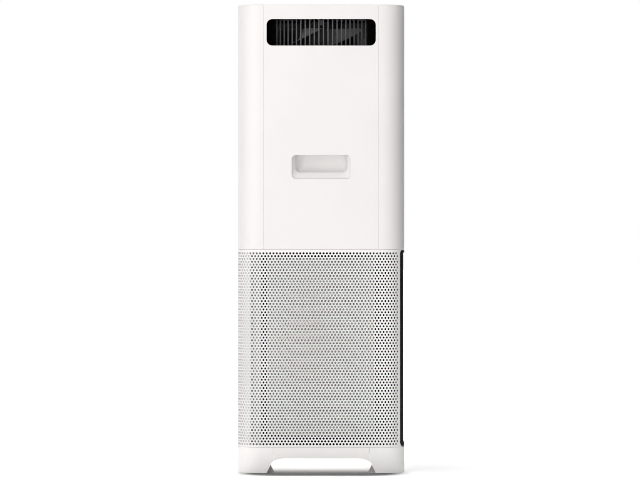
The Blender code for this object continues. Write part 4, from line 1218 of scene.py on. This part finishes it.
def make_cartridge():
    """Pleated filter in a diagonal net, between two rimmed caps."""
    low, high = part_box("filter_mesh")
    radius = high.x
    columns = [index + part for index in range(NET_STRANDS) for part in (0, NET_STRAND_SHARE)]
    columns.append(NET_STRANDS)
    rows = []
    level = low.z
    while level + NET_CELL < high.z:
        rows += [level, level + NET_CELL * NET_STRAND_SHARE]
        level += NET_CELL
    rows += [high.z - NET_CELL * NET_STRAND_SHARE, high.z]

    def place(step, height, side):
        angle = 2 * pi * step / NET_STRANDS + (height - low.z) * NET_TWIST
        reach = radius - NET_WALL * side
        return (reach * cos(angle), reach * sin(angle), height)

    net = cell_sheet("filter_net", columns, rows, lambda i, j: i % 2 == 0 or j % 2 == 0, place,
                     "net", wrap=True, body_name="drawer")
    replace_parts(net, "filter_mesh")
    low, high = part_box("filter_media")
    outline = []
    for index in range(PLEATS):
        for share, depth in ((0.0, PLEAT_ROOT), (0.35, PLEAT_CREST), (0.65, PLEAT_CREST)):
            angle = 2 * pi * (index + share) / PLEATS
            outline.append(((radius - depth) * cos(angle), (radius - depth) * sin(angle)))
    media = prism("filter_pleats", outline, low.z, high.z, "paper",
                  smooth_angle=20.0, body_name="drawer")
    cut(media, upright_tool("bore_tool", circle(MEDIA_BORE, 64), low, high))
    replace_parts(media, "filter_media")
    make_caps()


def make_caps():
    low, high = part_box("filter_bottom_cap")
    radius = high.x
    profile = [(0.0, low.z), (radius - CAP_EDGE, low.z), (radius, low.z + CAP_EDGE)]
    profile += quarter_round(radius, CAP_EDGE, high.z, 3) + [(0.0, high.z)]
    bottom = turned("filter_cap_lower", profile, "black", 96,
                    body_name="drawer", slot="core_pack")
    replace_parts(bottom, "filter_bottom_cap")
    low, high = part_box("filter_top_cap")
    groove = high.z - CAP_EDGE
    heights = (high.z, groove, groove, high.z)
    profile = [(CAP_BORE, low.z), (radius, low.z)] + quarter_round(radius, CAP_EDGE, high.z, 3)
    profile += list(zip(CAP_GROOVE[::-1], heights)) + [(CAP_BORE + CAP_EDGE, high.z), (CAP_BORE, groove)]
    top = turned("filter_cap_upper", profile, "black", 96, body_name="drawer", slot="core_pack")
    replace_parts(top, "filter_top_cap")


# ---- base

def arch_edge(steps=14):
    """Right-hand half of the arch, from its flat top outwards."""
    angles = [radians(90.0 - 90.0 * step / steps) for step in range(steps + 1)]
    return [(ARCH_FLAT + (ARCH_EDGE - ARCH_FLAT) * cos(angle),
             ARCH_SPRING + (ARCH_TOP - ARCH_SPRING) * sin(angle)) for angle in angles]


def arch_tool(name, place):
    slope = (ARCH_FOOT - ARCH_EDGE) / ARCH_SPRING
    right = arch_edge() + [(ARCH_FOOT - slope * ARCH_BELOW, ARCH_BELOW)]
    left = [(-across, up) for across, up in reversed(right)]
    return prism(name, right + left, -HALF - TOOL_REACH, HALF + TOOL_REACH, None, place)


def make_base():
    base = prism("base_skirt", plan_path(0.0, ALL_CORNERS), BASE_BOTTOM, BASE_TOP, "base")
    inner = HALF - SKIRT_WALL
    below = -TOOL_REACH
    notch = APRON_HALF + NOTCH_SLACK
    tools = [
        block("hollow_x", (-inner, -BOSS_EDGE, below), (inner, BOSS_EDGE, DECK_BOTTOM), None),
        block("hollow_y", (-BOSS_EDGE, -inner, below), (BOSS_EDGE, inner, DECK_BOTTOM), None),
        arch_tool("arch_y", facing_rear),
        arch_tool("arch_x", facing_side),
    ]
    for sign in (-1, 1):
        near, far = mirrored(sign, inner, HALF + TOOL_REACH)
        tools.append(block("notch_y", (-notch, near, below), (notch, far, NOTCH_TOP), None))
        tools.append(block("notch_x", (near, -notch, below), (far, notch, NOTCH_TOP), None))
    pocket = (BOSS_EDGE - POCKET_OVERLAP, PAD_OUTER + GAP)
    for across, along in CORNER_SIGNS:
        low_x, high_x = mirrored(across, *pocket)
        low_y, high_y = mirrored(along, *pocket)
        tools.append(block("pocket", (low_x, low_y, below), (high_x, high_y, PAD_HEIGHT + GAP), None))
    inlet_low, inlet_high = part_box("power_inlet")
    room = Vector((INLET_ROOM, INLET_ROOM, INLET_ROOM))
    outer = inlet_low - room
    outer.x = -HALF - TOOL_REACH
    tools.append(block("inlet_tool", outer, inlet_high + room, None))
    cut(base, *tools)
    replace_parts(soften(base, 0.0005, 2), "base_frame")
    make_aprons()


def make_aprons():
    """Four plates between the feet, following the arch along their lower edge."""
    reach = APRON_HALF - GAP
    share = (reach - ARCH_FLAT) / (ARCH_EDGE - ARCH_FLAT)
    lowest = ARCH_SPRING + (ARCH_TOP - ARCH_SPRING) * sqrt(1.0 - share * share)
    curve = [point for point in arch_edge() if point[0] < reach - GAP]
    half = [(reach, BASE_TOP), (reach, lowest)] + curve[::-1]
    outline = half + [(-across, up) for across, up in reversed(half)]
    for node, place in (("rear_apron", facing_rear), ("front_apron", facing_rear),
                        ("left_apron", facing_side), ("right_apron", facing_side)):
        low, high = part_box(node)
        depth = (low.y, high.y) if place is facing_rear else (low.x, high.x)
        apron = prism(f"{node}_plate", outline, *depth, "base", place)
        if node == "left_apron":
            low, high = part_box("power_inlet")
            hole = rounded_rectangle(high.y + GAP, (high.z - low.z) / 2 + GAP, INLET_HOLE_RADIUS,
                                     centre=(low.z + high.z) / 2)
            cut(apron, side_tool("inlet_tool", hole, -1, facing_side))
        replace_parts(soften(apron, 0.0003, 2), node)


def make_inlet():
    """Mains inlet: a figure-of-eight socket with two pins."""
    low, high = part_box("power_inlet")
    centre = (low.z + high.z) / 2
    half = PIN_SPACING / 2
    shell = rounded_rectangle(high.y, (high.z - low.z) / 2, INLET_RADIUS, centre=centre)
    inlet = prism("inlet_socket", shell, low.x, high.x, "black", facing_side)
    outside = low.x - TOOL_REACH
    floor = low.x + SOCKET_DEPTH
    tools = [prism("lobe_tool", circle(SOCKET_RADIUS, 32, sign * half, centre), outside, floor, None,
                   facing_side) for sign in (-1, 1)]
    waist = block("waist_tool", (outside, -half, centre - SOCKET_WAIST),
                  (floor, half, centre + SOCKET_WAIST), None)
    cut(inlet, *tools, waist)
    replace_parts(soften(inlet, 0.0003, 2), "power_inlet")
    profile = [(0.0, 0.0), (PIN_RADIUS, 0.0)] + quarter_round(PIN_RADIUS, PIN_TIP, PIN_LENGTH, 4)
    profile.append((0.0, PIN_LENGTH))
    for sign, word in REAR_FRONT:
        turned(f"inlet_pin_{word}", profile, "steel", 20,
               place=lambda x, y, z: (floor + PIN_SINK - z, sign * half + x, centre + y))


def make_screws():
    """Pan-head screws with a cross recess, seen from under the base."""
    for number in range(1, 5):
        node = f"base_screw_{number}"
        low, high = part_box(node)
        middle, radius = round_part(node)
        shank = radius * 0.46
        head = low.z + SCREW_HEAD
        profile = [(0.0, low.z), (radius * 0.55, low.z + 0.0002), (radius * 0.9, low.z + 0.0010),
                   (radius, low.z + 0.0018), (radius, head), (shank, head), (shank, high.z), (0.0, high.z)]
        screw = turned(f"screw_{number}", profile, "steel", 32, (middle.x, middle.y))
        long = radius * 0.55
        tools = [block("cross_tool", (middle.x - across, middle.y - along, low.z - TOOL_REACH),
                       (middle.x + across, middle.y + along, low.z + SCREW_SLOT_DEPTH), None)
                 for across, along in ((SCREW_SLOT_HALF, long), (long, SCREW_SLOT_HALF))]
        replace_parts(cut(screw, *tools), node)


# ---- carried-over CAD nodes

def finish_nodes():
    """Materials, and rounded edges, for the CAD nodes whose shape already serves."""
    pads = [f"foot_pad_{number}" for number in range(1, 5)]
    rails = ["drawer_rail_front", "drawer_rail_rear"]
    plain = {
        "rubber": pads,
        "inner": ["mid_deck"],
        # corner posts 1 and 4 get the mid grey that paints shade on pale posts
        "post": ["corner_post_1", "corner_post_4"],
        "black": ["corner_post_2", "corner_post_3", *rails, "drawer_tray", "bell_mouth", "lower_duct",
                  "upper_duct", "display_module", "particle_sensor", "sensor_grille"],
        "mount": ["upper_motor_mount", "lower_motor_mount"],
        "steel": ["upper_shaft", "lower_shaft", "upper_motor", "lower_motor"],
        "board": ["power_board", "control_board", "button_board"],
        "core": ["transformer"],
        "carbon": ["carbon_core"],
        "foam": ["filter_gasket"],
    }
    for finish, names in plain.items():
        for name in names:
            for slot in NODES[name].material_slots:
                slot.material = FINISHES[finish]
    posts = [f"corner_post_{number}" for number in range(1, 5)]
    for name in (*pads, "drawer_tray", *posts, *rails):
        soften(NODES[name], 0.0006, 2, keep=True)


# ---- stage

def stage_sheet(name, corners, finish):
    """One flat face that belongs to the stage."""
    mesh = bpy.data.meshes.new(name)
    mesh.from_pydata(corners, [], [tuple(range(len(corners)))])
    mesh.materials.append(finish)
    sheet = new_object(name, mesh)
    return sheet


def make_stage():
    """Seamless pale floor and sky, a key light from the left, and a dark flag out of sight on each side."""
    world = bpy.data.worlds.new("studio")
    bpy.context.scene.world = world
    world.use_nodes = True
    backing = world.node_tree.nodes["Background"]
    backing.inputs["Color"].default_value = (1.0, 1.0, 1.0, 1.0)
    backing.inputs["Strength"].default_value = 1.0
    stage_sheet("floor", [(x * FLOOR_REACH, y * FLOOR_REACH, 0.0) for x, y in CORNER_SIGNS],
                floor_painted_shadow("floor_painted_shadow"))
    dark = flag_black("flag_black")
    for side, distance, reach, top in FLAGS:
        edge = side * distance
        corners = [(edge, -reach, 0.0), (edge, reach, 0.0), (edge, reach, top), (edge, -reach, top)]
        flag = stage_sheet(f"flag_{'left' if side < 0 else 'right'}", corners, dark)
        flag.visible_camera = False
    data = bpy.data.lights.new("key", "AREA")
    data.shape = "RECTANGLE"
    data.size = KEY_WIDTH
    data.size_y = KEY_HEIGHT
    data.energy = KEY_POWER
    lamp = new_object("key", data)
    lamp.location = KEY_PLACE
    lamp.rotation_euler = (Vector(KEY_AIM) - Vector(KEY_PLACE)).to_track_quat("-Z", "Y").to_euler()


def make_camera():
    data = bpy.data.cameras.new("camera")
    data.lens = CAMERA_LENS
    data.sensor_width = CAMERA_SENSOR
    data.shift_x = CAMERA_SHIFT[0] / IMAGE_WIDTH
    data.shift_y = CAMERA_SHIFT[1] / IMAGE_WIDTH
    camera = new_object("camera", data)
    camera.location = (0.0, -HALF - CAMERA_DISTANCE, HEIGHT / 2)
    camera.rotation_euler = (radians(90.0), 0.0, 0.0)
    bpy.context.scene.camera = camera
    bpy.context.scene.view_settings.view_transform = "Standard"
    bpy.context.scene.cycles.filter_width = FILTER_WIDTH


def main():
    make_camera()
    make_shells()
    make_panels()
    make_seam_tongues()
    make_grip_cup()
    make_controls()
    make_top()
    make_window()
    make_upper_fan()
    make_lower_fan()
    make_cover()
    make_door()
    make_door_gussets()
    make_liners()
    make_baffles()
    make_split_band()
    make_cartridge()
    make_base()
    make_inlet()
    make_screws()
    finish_nodes()
    make_stage()


main()
